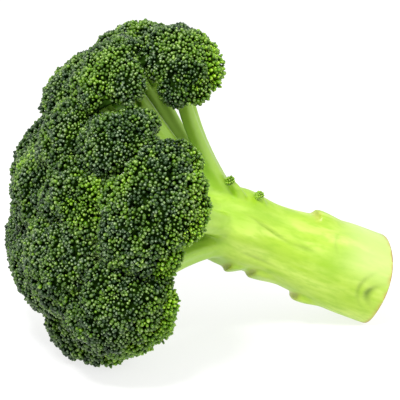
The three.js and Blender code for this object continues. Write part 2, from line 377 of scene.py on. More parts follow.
@dataclass(frozen=True)
class HeadFrame:
    """Where the head lies: the middle of its cut face, and its own axes as rows, in the row frame."""

    origin: np.ndarray
    axes: np.ndarray

    @classmethod
    def of(cls, stalk: StalkPlan, tilt: float) -> HeadFrame:
        """Finds the head from the CAD stalk's box.

        The upper rim of the cut is the stalk's farthest point along +X, at radius (sin tilt - slope cos tilt)
        from the middle of the cut. The lower rim is on the floor, so the middle is at height
        radius (cos tilt + slope sin tilt).

        Args:
            stalk: the stalk's sizes.
            tilt: how far the head's axis rises over the floor, in degrees.

        Returns:
            Where the head lies.
        """
        low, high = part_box("stalk")
        sine, cosine = float(np.sin(np.radians(tilt))), float(np.cos(np.radians(tilt)))
        rim = stalk.radii[0] * MM
        origin = np.array(
            [
                high.x - rim * (sine - stalk.slope * cosine),
                (low.y + high.y) / 2.0,
                rim * (cosine + stalk.slope * sine),
            ]
        )
        axes = np.array([[sine, 0.0, cosine], [0.0, 1.0, 0.0], [-cosine, 0.0, sine]])
        return cls(origin, axes)

    def to_row(self, points: np.ndarray) -> np.ndarray:
        """Points in metres in the row frame, none of them under the floor."""
        placed = self.origin + MM * points @ self.axes
        placed[..., 2] = np.maximum(placed[..., 2], 0.0)
        return placed

    def above_floor(self, points: np.ndarray) -> np.ndarray:
        """Height over the floor, in millimetres."""
        return self.origin[2] / MM + points @ self.axes[:, 2]

    @property
    def up(self) -> np.ndarray:
        """The row's +Z in the head's own frame."""
        return self.axes[:, 2]


@dataclass(frozen=True)
class FloretPlan:
    """Where a floret stands and how big it is, as in the CAD: degrees and millimetres."""

    name: str
    azimuth: float
    lean: float
    across: float
    along: float
    proud: float
    root: float

    @property
    def inner(self) -> bool:
        """True for the florets of the middle, whose branches leave the top of the stalk."""
        return self.root > 88.0


FLORETS: tuple[FloretPlan, ...] = (
    FloretPlan("rim_top", -8, 52, 28, 23, 1, 78),
    FloretPlan("rim_front", -87, 47, 36, 26, 4, 80),
    FloretPlan("rim_front_low", -131, 57, 34, 27, 4, 75),
    FloretPlan("rim_under", -175, 72, 33, 25, 2, 79),
    FloretPlan("rim_back_low", 133, 53, 35, 27, 4, 75),
    FloretPlan("rim_back", 80, 51, 34, 26, 1, 80),
    FloretPlan("rim_back_top", 34, 51, 31, 26, 2, 77),
    FloretPlan("shoulder_top", -6, 31, 33, 31, 6, 90),
    FloretPlan("shoulder_front", -58, 26, 25, 24, 0, 93),
    FloretPlan("shoulder_low", -146, 32, 33, 31, 2, 89),
    FloretPlan("shoulder_under", 166, 38, 33, 30, -2, 92),
    FloretPlan("shoulder_back", 104, 31, 33, 32, 1, 90),
    FloretPlan("shoulder_back_top", 46, 30, 32, 31, 3, 93),
    FloretPlan("heart_front", -104, 19, 31, 31, 1, 96),
    FloretPlan("heart_top", -15, 9, 31, 31, 2, 99),
    FloretPlan("heart_back", 140, 13, 31, 31, 1, 98),
)


@dataclass(frozen=True)
class CrownPlan:
    """The ellipsoid that the florets touch from inside, and the shape of a floret, as in the CAD."""

    radius: float = 87.0
    height: float = 55.0
    waist: float = 137.0
    fork: float = 96.0  # the height on the axis that the florets radiate from
    floret_height: float = 26.0
    floret_under: float = 15.0
    branch_reach: float = 11.0  # a branch ends this far below the middle of its floret
    branch_rise: float = 29.0
    branch_start: float = 0.5
    branch_splay: float = 5.3  # how far a branch moves off the axis while it rises beside the stalk


@dataclass(frozen=True)
class FloretPlace:
    """A floret's middle, its directions, and the line of its branch."""

    plan: FloretPlan
    middle: np.ndarray
    facing: np.ndarray
    direction: np.ndarray
    across: np.ndarray
    along: np.ndarray
    branch: np.ndarray  # the three control points of the branch's line


@dataclass(frozen=True)
class Crown:
    """Lays the florets out on the crown."""

    plan: CrownPlan
    stalk: StalkPlan

    def place(self, floret: FloretPlan) -> FloretPlace:
        """Works out where a floret stands.

        Its top is where a line from the fork, leaning by the plan's angle, meets the ellipsoid
        (r / radius)^2 + ((h - waist) / height)^2 = 1, and it faces along the ellipsoid's normal there.

        Args:
            floret: its plan.

        Returns:
            Its place.
        """
        plan = self.plan
        lean = np.radians(floret.lean)
        direction = around_axis(np.sin(lean), floret.azimuth, np.cos(lean))
        drop = plan.waist - plan.fork
        square = (1 - direction[2] ** 2) / plan.radius**2 + direction[2] ** 2 / plan.height**2
        linear = drop * direction[2] / plan.height**2
        distance = (linear + np.sqrt(linear**2 - square * ((drop / plan.height) ** 2 - 1))) / square
        top = np.array([0, 0, plan.fork]) + distance * direction
        over_waist = top - (0.0, 0.0, plan.waist)
        facing = unit(over_waist / np.square((plan.radius, plan.radius, plan.height)))
        middle = top + (floret.proud - plan.floret_height) * facing
        across = around_axis(1.0, floret.azimuth + 90.0, 0.0)
        start = plan.branch_start * float(self.stalk.radius(np.array(floret.root)))
        branch = np.stack(
            [
                around_axis(start, floret.azimuth, floret.root),
                around_axis(start + plan.branch_splay, floret.azimuth, floret.root + plan.branch_rise),
                middle - plan.branch_reach * facing,
            ]
        )
        return FloretPlace(floret, middle, facing, direction, across, np.cross(facing, across), branch)

    def surface(self, place: FloretPlace, rays: np.ndarray) -> tuple[np.ndarray, np.ndarray]:
        """Points and outward directions on a floret's smooth dome.

        The dome is half an ellipsoid with the plan's half widths and height, and its underside half a flatter
        one. The distance from the middle along a ray is one over the length of the ray's parts, each divided
        by its half width.

        Args:
            place: the floret.
            rays: (..., 3) directions from its middle.

        Returns:
            The points, and the unit vectors square to the dome there.
        """
        sides = np.stack([place.across, place.along, place.facing])
        parts = rays @ sides.T
        height = np.where(parts[..., 2] > 0, self.plan.floret_height, self.plan.floret_under)
        widths = np.broadcast_to((place.plan.across, place.plan.along), (*height.shape, 2))
        halves = np.concatenate([widths, height[..., None]], axis=-1)
        reach = 1.0 / np.linalg.norm(parts / halves, axis=-1, keepdims=True)
        return place.middle + reach * rays, unit((parts / halves**2) @ sides)

    def inside_walls(
        self, place: FloretPlace, others: Sequence[FloretPlace], points: np.ndarray
    ) -> np.ndarray:
        """How far each point is inside the nearest plane that parts the floret from a neighbour.

        Args:
            place: the floret.
            others: every floret, with or without this one.
            points: (n, 3) places.

        Returns:
            Millimetres, less than 0 beyond a plane.
        """
        fork = np.array([0, 0, self.plan.fork])
        normals = unit(np.array([o.direction for o in others if o is not place]) - place.direction)
        return -((points - fork) @ normals.T).max(axis=-1)


# ---------------------------------------------------------------- finishes


class Nodes:
    """A small builder of one material's nodes."""

    def __init__(self, name: str) -> None:
        """Starts a material with one Principled shader."""
        self.material = bpy.data.materials.new(name)
        self.material.use_nodes = True
        self.tree = self.material.node_tree
        self.shader = self.tree.nodes["Principled BSDF"]

    def add(self, kind: str, **values: object) -> bpy.types.Node:
        """Adds a node and sets its properties."""
        node = self.tree.nodes.new(kind)
        for name, value in values.items():
            setattr(node, name, value)
        return node

    def join(self, source: bpy.types.NodeSocket, target: bpy.types.NodeSocket) -> None:
        """Links two sockets."""
        self.tree.links.new(source, target)

    def settle(self, **values: float) -> None:
        """Sets constant values on the shader's own sockets, by name with underscores for spaces."""
        for name, value in values.items():
            self.shader.inputs[name.replace("_", " ")].default_value = value

    def ramp(
        self, factor: bpy.types.NodeSocket, stops: Sequence[tuple[float, Sequence[float]]]
    ) -> bpy.types.NodeSocket:
        """A colour that changes with factor through the stops.

        Args:
            factor: the socket that drives it.
            stops: (place, linear colour) pairs in order.

        Returns:
            The colour socket.
        """
        node = self.add("ShaderNodeValToRGB")
        elements = node.color_ramp.elements
        while len(elements) < len(stops):
            elements.new(0.5)
        for element, (place, colour) in zip(elements, stops):
            element.position = place
            element.color = (*colour, 1.0)
        self.join(factor, node.inputs["Fac"])
        return node.outputs["Color"]

    def grade(
        self, factor: bpy.types.NodeSocket, low: float, high: float, to: Sequence[float] = (0.0, 1.0)
    ) -> bpy.types.NodeSocket:
        """A number that changes smoothly with another.

        Args:
            factor: the socket that drives it.
            low: where the change starts.
            high: where it ends.
            to: the numbers at low and at high.

        Returns:
            The number's socket.
        """
        node = self.add("ShaderNodeMapRange", interpolation_type="SMOOTHSTEP")
        for socket, value in zip(("From Min", "From Max", "To Min", "To Max"), (low, high, *to)):
            node.inputs[socket].default_value = value
        self.join(factor, node.inputs["Value"])
        return node.outputs["Result"]

    def mix(self, factor: object, first: object, second: object, mode: str = "MIX") -> bpy.types.NodeSocket:
        """Two colours mixed; each input is a socket or a constant.

        Args:
            factor: 0 for the first and 1 for the second.
            first: a colour.
            second: a colour.
            mode: how they blend.

        Returns:
            The colour's socket.
        """
        node = self.add("ShaderNodeMix", data_type="RGBA", blend_type=mode)
        for socket, value in zip((node.inputs[0], node.inputs[6], node.inputs[7]), (factor, first, second)):
            if isinstance(value, bpy.types.NodeSocket):
                self.join(value, socket)
            elif isinstance(value, (int, float)):
                socket.default_value = value
            else:
                socket.default_value = (*value, 1.0)
        return node.outputs[2]

    def number(self, name: str) -> bpy.types.NodeSocket:
        """The piece's own number under that name."""
        return self.add("ShaderNodeAttribute", attribute_name=name).outputs["Fac"]

    def own_map(self) -> tuple[bpy.types.NodeSocket, bpy.types.NodeSocket]:
        """Freshness and the place from foot to tip, from the piece's own map."""
        source = self.add("ShaderNodeUVMap", uv_map=MAP_NAME)
        parts = self.add("ShaderNodeSeparateXYZ")
        self.join(source.outputs["UV"], parts.inputs[0])
        return parts.outputs["X"], parts.outputs["Y"]

    def noise(
        self, scale: float, detail: float, stretch: Sequence[float], turn: float
    ) -> bpy.types.NodeSocket:
        """Noise on Object coordinates, turned by the head's tilt and stretched along its axes.

        Args:
            scale: cells per metre.
            detail: octaves.
            stretch: how much each direction is squeezed; a small last number draws streaks along the stalk.
            turn: the head's turn about Y, in radians.

        Returns:
            The noise value.
        """
        source = self.add("ShaderNodeTexCoord")
        turned = self.add("ShaderNodeMapping")
        turned.inputs["Rotation"].default_value = (0.0, turn, 0.0)
        squeezed = self.add("ShaderNodeMapping")
        squeezed.inputs["Scale"].default_value = tuple(stretch)
        pattern = self.add("ShaderNodeTexNoise")
        pattern.inputs["Scale"].default_value = scale
        pattern.inputs["Detail"].default_value = detail
        self.join(source.outputs["Object"], turned.inputs["Vector"])
        self.join(turned.outputs["Vector"], squeezed.inputs["Vector"])
        self.join(squeezed.outputs["Vector"], pattern.inputs["Vector"])
        return pattern.outputs["Fac"]

    def bump(self, height: bpy.types.NodeSocket, distance: float, strength: float) -> None:
        """Roughens the shader's normal by a height."""
        node = self.add("ShaderNodeBump")
        node.inputs["Distance"].default_value = distance
        node.inputs["Strength"].default_value = strength
        self.join(height, node.inputs["Height"])
        self.join(node.outputs["Normal"], self.shader.inputs["Normal"])


@dataclass(frozen=True)
class BudFinish:
    """Waxy buds: dark blue-green, yellow-green where they are young; each bud has a near-black foot, a
    painted shade between the buds, and a pale grey-green tip that is partly their real grey wax and partly a
    painted highlight.
    """

    roughness: float = 0.26
    shine: float = 0.30
    # colours from foot to tip: the near-black foot is painted shade between the buds, the pale grey tip
    # partly grey wax and partly a painted highlight
    ripe: tuple[tuple[float, tuple[float, float, float]], ...] = (
        (0.0, (0.001, 0.004, 0.001)),
        (0.45, (0.005, 0.020, 0.002)),
        (0.72, (0.014, 0.041, 0.008)),
        (0.88, (0.056, 0.102, 0.038)),
        (1.0, (0.290, 0.365, 0.220)),
    )
    # the same for young buds: painted shade at the foot, a pale yellow-green tip with a painted highlight
    fresh: tuple[tuple[float, tuple[float, float, float]], ...] = (
        (0.0, (0.004, 0.020, 0.001)),
        (0.45, (0.075, 0.200, 0.002)),
        (0.72, (0.160, 0.340, 0.004)),
        (0.88, (0.270, 0.470, 0.020)),
        (1.0, (0.420, 0.600, 0.090)),
    )

    def material(self) -> bpy.types.Material:
        """The colour climbs each bud from foot to tip on two ramps, from painted shade to a painted highlight
        over the grey wax, mixed by how fresh the bud is.
        """
        nodes = Nodes("bud_wax")
        freshness, foot_to_tip = nodes.own_map()
        colour = nodes.mix(freshness, nodes.ramp(foot_to_tip, self.ripe), nodes.ramp(foot_to_tip, self.fresh))
        nodes.join(colour, nodes.shader.inputs["Base Color"])
        nodes.settle(Roughness=self.roughness, Specular_IOR_Level=self.shine)
        return nodes.material


@dataclass(frozen=True)
class GapShadeFinish:
    """The matte near-black flesh at the foot of the buds, a painted shade for the gaps between them, in
    random blotches of two dark greens.
    """

    stops: tuple[tuple[float, tuple[float, float, float]], ...] = (
        (0.35, (0.003, 0.009, 0.001)),
        (0.70, (0.018, 0.048, 0.004)),
    )

    def material(self) -> bpy.types.Material:
        """Blotches between the two near-black greens of the painted shade, without any shine."""
        nodes = Nodes("bud_gap_shade")
        blotches = nodes.noise(260.0, 2.0, (1.0, 1.0, 1.0), 0.0)
        nodes.join(nodes.ramp(blotches, self.stops), nodes.shader.inputs["Base Color"])
        nodes.settle(Roughness=0.95, Specular_IOR_Level=0.0)
        return nodes.material


@dataclass(frozen=True)
class StemFinish:
    """Smooth stems: pale where they leave their branch, greener and darker towards the buds, and near black
    at the tip, a painted shade under the buds.
    """

    roughness: float = 0.42
    # colours from foot to tip; the near-black end is painted shade where the stems fan out under the lobes
    plain: tuple[tuple[float, tuple[float, float, float]], ...] = (
        (0.0, (0.360, 0.580, 0.070)),
        (0.5, (0.280, 0.490, 0.050)),
        (0.85, (0.150, 0.320, 0.020)),
        (1.0, (0.030, 0.080, 0.005)),
    )
    deep: tuple[tuple[float, tuple[float, float, float]], ...] = (
        (0.0, (0.250, 0.440, 0.050)),
        (0.5, (0.180, 0.350, 0.035)),
        (0.85, (0.090, 0.210, 0.014)),
        (1.0, (0.020, 0.055, 0.004)),
    )

    def material(self) -> bpy.types.Material:
        """The colour runs up each stem from foot to tip on two ramps, mixed by the stem's own tint; the
        near-black tip end of both is painted shade.
        """
        nodes = Nodes("stem_skin")
        tint, foot_to_tip = nodes.own_map()
        colour = nodes.mix(tint, nodes.ramp(foot_to_tip, self.plain), nodes.ramp(foot_to_tip, self.deep))
        nodes.join(colour, nodes.shader.inputs["Base Color"])
        nodes.settle(Roughness=self.roughness)
        return nodes.material


@dataclass(frozen=True)
class StalkFinish:
    """The stalk's yellow-green skin with streaks along it, a painted highlight on its upper front near the
    cut, painted shade in its cut-in marks, and its moist cut face with a browned rim.
    """

    tilt: float
    roughness: float = 0.38
    skin: tuple[float, float, float] = (0.360, 0.560, 0.028)
    pale: tuple[float, float, float] = (0.530, 0.700, 0.110)
    deep: tuple[float, float, float] = (0.250, 0.470, 0.008)
    # pale colour of a painted highlight on the upper front of the stalk near the cut
    highlight_band: tuple[float, float, float] = (0.600, 0.730, 0.260)
    limb: tuple[float, float, float] = (0.330, 0.550, 0.065)
    # the darker green painted into cut-in marks and grooves, a painted shade
    scar_and_shade: tuple[float, float, float] = (0.120, 0.210, 0.012)
    dry: tuple[float, float, float] = (0.460, 0.340, 0.085)
    brown: tuple[float, float, float] = (0.420, 0.230, 0.050)
    face: tuple[tuple[float, tuple[float, float, float]], ...] = (  # from just inside the rim to the middle
        (0.06, (0.62, 0.62, 0.20)),
        (0.16, (0.56, 0.70, 0.20)),
        (0.24, (0.44, 0.62, 0.14)),
        (0.32, (0.66, 0.78, 0.34)),
        (0.75, (0.72, 0.80, 0.44)),
        (1.0, (0.78, 0.84, 0.54)),
    )

    def material(self) -> bpy.types.Material:
        """Streaks and blotches over the skin, then a painted highlight near the cut, limbs, painted shade in
        cut-in marks and the cut face by the piece's numbers.
        """
        nodes = Nodes("stalk_skin")
        turn = float(np.radians(90.0 - self.tilt))
        streaks = nodes.noise(150.0, 3.0, (1.0, 1.0, 0.16), turn)
        blotches = nodes.noise(55.0, 3.0, (1.0, 1.0, 0.45), turn)
        speckle = nodes.noise(420.0, 3.0, (1.0, 1.0, 0.35), turn)
        broad = nodes.noise(38.0, 2.0, (1.0, 1.0, 0.55), turn)
        fibres = nodes.noise(800.0, 2.0, (1.0, 1.0, 0.05), turn)
        colour = nodes.mix(nodes.grade(streaks, 0.38, 0.70), self.skin, self.pale)
        colour = nodes.mix(nodes.grade(blotches, 0.48, 0.72, (0.0, 0.45)), colour, self.pale)
        colour = nodes.mix(nodes.grade(speckle, 0.42, 0.72, (0.0, 0.45)), colour, self.deep)
        colour = nodes.mix(nodes.grade(broad, 0.50, 0.68, (0.0, 0.65)), colour, self.deep)
        # painted highlight: paler skin near the cut on the side that faces the key light
        colour = nodes.mix(nodes.number("painted_highlight"), colour, self.highlight_band)
        colour = nodes.mix(nodes.number("limb"), colour, self.limb)
        # painted shade in the cut-in marks
        colour = nodes.mix(nodes.number("scar_and_shade"), colour, self.scar_and_shade)
        colour = nodes.mix(nodes.number("dry"), colour, self.dry)
        face = nodes.ramp(nodes.number("cut"), [(0.02, self.brown), *self.face])
        colour = nodes.mix(nodes.grade(nodes.number("cut"), 0.0, 0.02), colour, face)
        nodes.join(colour, nodes.shader.inputs["Base Color"])
        nodes.bump(fibres, 0.0003, 0.2)
        nodes.settle(Roughness=self.roughness, Specular_IOR_Level=0.45)
        return nodes.material


# ---------------------------------------------------------------- buds and lobes


@dataclass(frozen=True)
class LobePlan:
    """Sizes of the small domed clusters that make up a floret."""

    spacing: float = 11.0
    radius: float = 7.4
    uneven: float = 0.18  # share by which their radii vary
    sunk: float = 0.7  # a lobe's top stays this far under the floret's dome, so that its buds reach it
    lowest: float = 0.02  # cosine of the farthest angle from the way the floret faces
    jitter: float = 0.07  # how unevenly they are spread
    wall_gap: float = 0.2  # a lobe's top stays this far inside the walls between florets
    floor_gap: float = 1.4  # and the lobe this far over the floor, to leave room for its buds


@dataclass
class Lobes:
    """Every lobe of the crown: middles, directions, radii and which floret each belongs to."""

    centres: np.ndarray
    normals: np.ndarray
    radii: np.ndarray
    owner: np.ndarray

    @classmethod
    def grow(cls, crown: Crown, places: Sequence[FloretPlace], plan: LobePlan, head: HeadFrame) -> Lobes:
        """Spreads lobes over every floret's dome and drops those beyond the walls between florets.

        Args:
            crown: the crown's shape.
            places: every floret.
            plan: the lobes' sizes.
            head: where the floor is.

        Returns:
            All the lobes, none of them under the floor.
        """
        random = np.random.default_rng(SEED)
        centres, normals, radii, owner = [], [], [], []
        for index, place in enumerate(places):
            size = (place.plan.across + place.plan.along + crown.plan.floret_height) / 3.0
            count = room_on_sphere(size, plan.spacing)
            rays = unit(spread(count) + random.normal(scale=plan.jitter, size=(count, 3)))
            rays = turned(rays, place.facing)
            rays = rays[rays @ place.facing > plan.lowest]
            points, facing = crown.surface(place, rays)
            kept = crown.inside_walls(place, places, points) > plan.wall_gap
            points, facing = points[kept], facing[kept]
            radius = plan.radius * (1.0 + plan.uneven * random.uniform(-1.0, 1.0, len(points)))
            middle = points - (radius + plan.sunk)[:, None] * facing
            room = head.above_floor(middle) - radius - plan.floor_gap
            middle = middle + np.maximum(-room, 0.0)[:, None] * head.up
            centres.append(middle)
            normals.append(facing)
            radii.append(radius)
            owner.append(np.full(len(points), index))
        return cls(*(np.concatenate(part) for part in (centres, normals, radii, owner)))


@dataclass(frozen=True)
class TuftPlan:
    """Sizes of the tufts of buds that a lobe is made of."""

    spacing: float = 5.4
    radius: float = 2.7
    uneven: float = 0.14
    proud: float = 0.3  # how far a tuft stands out of its lobe
    lowest: float = -0.2  # cosine of the farthest angle from the way the lobe faces
    jitter: float = 0.09  # how unevenly they are spread
    overlap: float = 1.6  # a tuft may stand this far inside another lobe


@dataclass
class Tufts:
    """Every tuft of the crown: middles, directions, radii, and which lobe and floret each belongs to."""

    centres: np.ndarray
    normals: np.ndarray
    radii: np.ndarray
    lobe: np.ndarray
    owner: np.ndarray

    @classmethod
    def grow(cls, lobes: Lobes, plan: TuftPlan) -> Tufts:
        """Spreads tufts over every lobe and drops those that are deep inside another lobe.

        Args:
            lobes: every lobe.
            plan: the tufts' sizes.

        Returns:
            All the tufts.
        """
        random = np.random.default_rng(SEED + Draws.TUFTS)
        centres, normals, radii, lobe = [], [], [], []
        for index, (middle, axis, size) in enumerate(zip(lobes.centres, lobes.normals, lobes.radii)):
            count = room_on_sphere(size, plan.spacing)
            rays = unit(spread(count) + random.normal(scale=plan.jitter, size=(count, 3)))
            rays = turned(rays[rays[:, 2] > plan.lowest], axis, random.uniform(0.0, 2.0 * np.pi))
            radius = plan.radius * (1.0 + plan.uneven * random.uniform(-1.0, 1.0, len(rays)))
            points = middle + (size - radius + plan.proud)[:, None] * rays
            inside = distances(points, lobes.centres) - (lobes.radii - plan.radius)
            inside[:, index] = np.inf
            kept = inside.min(axis=1) > -plan.overlap
            centres.append(points[kept])
            normals.append(rays[kept])
            radii.append(radius[kept])
            lobe.append(np.full(kept.sum(), index))
        parts = [np.concatenate(part) for part in (centres, normals, radii, lobe)]
        return cls(*parts, lobes.owner[parts[3]])


@dataclass(frozen=True)
class BudPlan:
    """Sizes of a bud and how closely the buds are packed."""

    spacing: float = 1.66
    radius: float = 0.84
    rise: float = 1.1  # from the widest ring to the tip
    sides: int = 7
    rings: tuple[tuple[float, float, float], ...] = (  # height over rise, width over radius, and place on the colour ramp from the painted shade at the foot to the tip
        (-0.9, 0.44, 0.0),
        (-0.02, 1.0, 0.44),
        (0.64, 0.76, 0.85),
    )
    petals: float = 0.07  # depth of the grooves between its sepals
    lowest: float = -0.25  # cosine of the farthest angle from the way the tuft faces
    jitter: float = 0.10  # how unevenly they are spread
    crowding: float = 0.16  # buds keep this far out of the neighbouring tuft
    floor_gap: float = 0.7  # and this far over the floor
    loose: float = 0.30  # how unevenly they stand out
    outward: float = 0.25  # share of the lobe's direction in a bud's, the rest being its tuft's
    lean: float = 0.22  # how unevenly they lean
    size_spread: float = 0.15
    size_limits: tuple[float, float] = (0.55, 1.4)
    heights: tuple[float, float] = (0.8, 1.25)  # least and most for their width
    bloom_and_highlight: tuple[float, float] = (0.92, 0.12)  # mean and spread of how far the tips reach towards the pale end, partly grey wax and partly painted highlight
    # the least share of the ramp that a tip reaches towards its painted highlight
    least_bloom_and_highlight: float = 0.5
    rim_shrink: float = 0.12  # how much smaller a bud of the crown's rim is
    rim_height: float = 0.8  # how much longer it is at most
    rim_rise: float = 1.3  # and the farthest that it stands out
    pedicel: float = 0.34  # radius of the fine stem under a bud of the rim
    pedicel_length: float = 3.2
    tall: float = 1.35  # buds at least this long for their width stand on one

    def template(self) -> tuple[np.ndarray, np.ndarray, np.ndarray, np.ndarray]:
        """One bud about its own axis: rings of width r (1 + petals cos 3a), a closed foot and a tip.

        Returns:
            Points, each point's place on the colour ramp from foot to tip, quads and triangles.
        """
        turn = circle(self.sides)
        grooves = 1.0 + self.petals * np.cos(3.0 * turn)
        height, width, grown = np.array(self.rings).T
        x = width[:, None] * grooves * np.cos(turn) * self.radius
        y = width[:, None] * grooves * np.sin(turn) * self.radius
        z = np.repeat(height[:, None], self.sides, axis=1) * self.rise
        body = np.stack([x, y, z], axis=-1).reshape(-1, 3)
        ends = np.array([[0.0, 0.0, height[0] * self.rise], [0.0, 0.0, self.rise]])
        foot_to_tip = np.concatenate([np.repeat(grown, self.sides), (0.0, 1.0)])
        quads, triangles = tube_faces(1, len(self.rings), self.sides)
        return np.concatenate([body, ends]), foot_to_tip, quads, triangles


@dataclass
class Buds:
    """Where the buds of one floret are, how they stand, and how fresh and how bloomed each is."""

    points: np.ndarray
    normals: np.ndarray
    sizes: np.ndarray
    heights: np.ndarray
    freshness: np.ndarray
    bloom_and_highlight: np.ndarray  # how pale its tip is: grey wax and a painted highlight

    def add_to(self, surfaces: Surfaces, plan: BudPlan, seed: int) -> None:
        """Sets a bud at every place, turned at random about its own axis.

        Args:
            surfaces: the piece that they join.
            plan: the bud's shape.
            seed: of the random turns.
        """
        shape, foot_to_tip, quads, triangles = plan.template()
        count = len(self.points)
        random = np.random.default_rng(seed)
        turn = random.uniform(0.0, 2.0 * np.pi, (count, 1))
        widths = self.sizes[:, None] * random.uniform(0.92, 1.08, (count, 2))
        stretch = np.concatenate([widths, (self.sizes * self.heights)[:, None]], axis=1)
        body = turned(shape[None] * stretch[:, None], self.normals[:, None], turn)
        points = (body + self.points[:, None]).reshape(-1, 3)
        # how far up the ramp each point reaches: the tip climbs towards the pale painted highlight
        ramp_places = (self.bloom_and_highlight[:, None] * foot_to_tip).ravel()
        places = np.stack([np.repeat(self.freshness, len(shape)), ramp_places], axis=-1)
        offsets = np.arange(count)[:, None, None] * len(shape)
        surfaces.add(points, (quads + offsets).reshape(-1, 4), (triangles + offsets).reshape(-1, 3), places)

    def add_pedicels(self, surfaces: Surfaces, plan: BudPlan) -> None:
        """Sets a fine bright stem under every bud that is long enough to show one.

        Args:
            surfaces: the piece that they join.
            plan: the bud's shape.
        """
        tall = self.heights > plan.tall
        if not tall.any():
            return
        points, normals = self.points[tall], self.normals[tall]
        steps = np.array([-1.0, -0.5, -0.1])[:, None] * plan.pedicel_length
        paths = points[:, None] + steps * normals[:, None]
        radii = plan.pedicel * np.array([1.3, 1.0, 1.6]) * np.ones((len(points), 1))
        quads, triangles = tube_faces(len(points), 3, 4)
        surfaces.add(tubes(paths, radii, 4), quads, triangles, np.array([1.0, 0.9]))


@dataclass(frozen=True)
class Freshness:
    """How much each cause adds to how young a bud looks."""

    base: float = -0.08
    side: float = 0.22  # low on the side of its lobe
    rim: float = 0.65  # at the crown's rim
    patch: float = 0.28  # in a soft patch
    wild: float = 0.18  # spread from bud to bud
    tuft: tuple[float, float] = (-0.14, 0.22)  # least and most from tuft to tuft


@dataclass(frozen=True)
class FleshPlan:
    """Sizes of the flesh that the buds stand on, in millimetres and degrees from the way it faces."""

    depth: float = 2.3  # how far the flesh of a lobe lies under its surface
    lobe_rings: tuple[float, ...] = (112.0, 88.0, 62.0, 36.0, 12.0)
    lobe_sides: int = 10
    filler: float = 0.72  # size of the flesh in a floret's middle, over the floret's own
    filler_rings: tuple[float, ...] = (172.0, 130.0, 95.0, 70.0, 45.0, 22.0, 6.0)
    filler_sides: int = 20
    ceiling: float = 11.5  # its flat underside is this far above the floret's middle


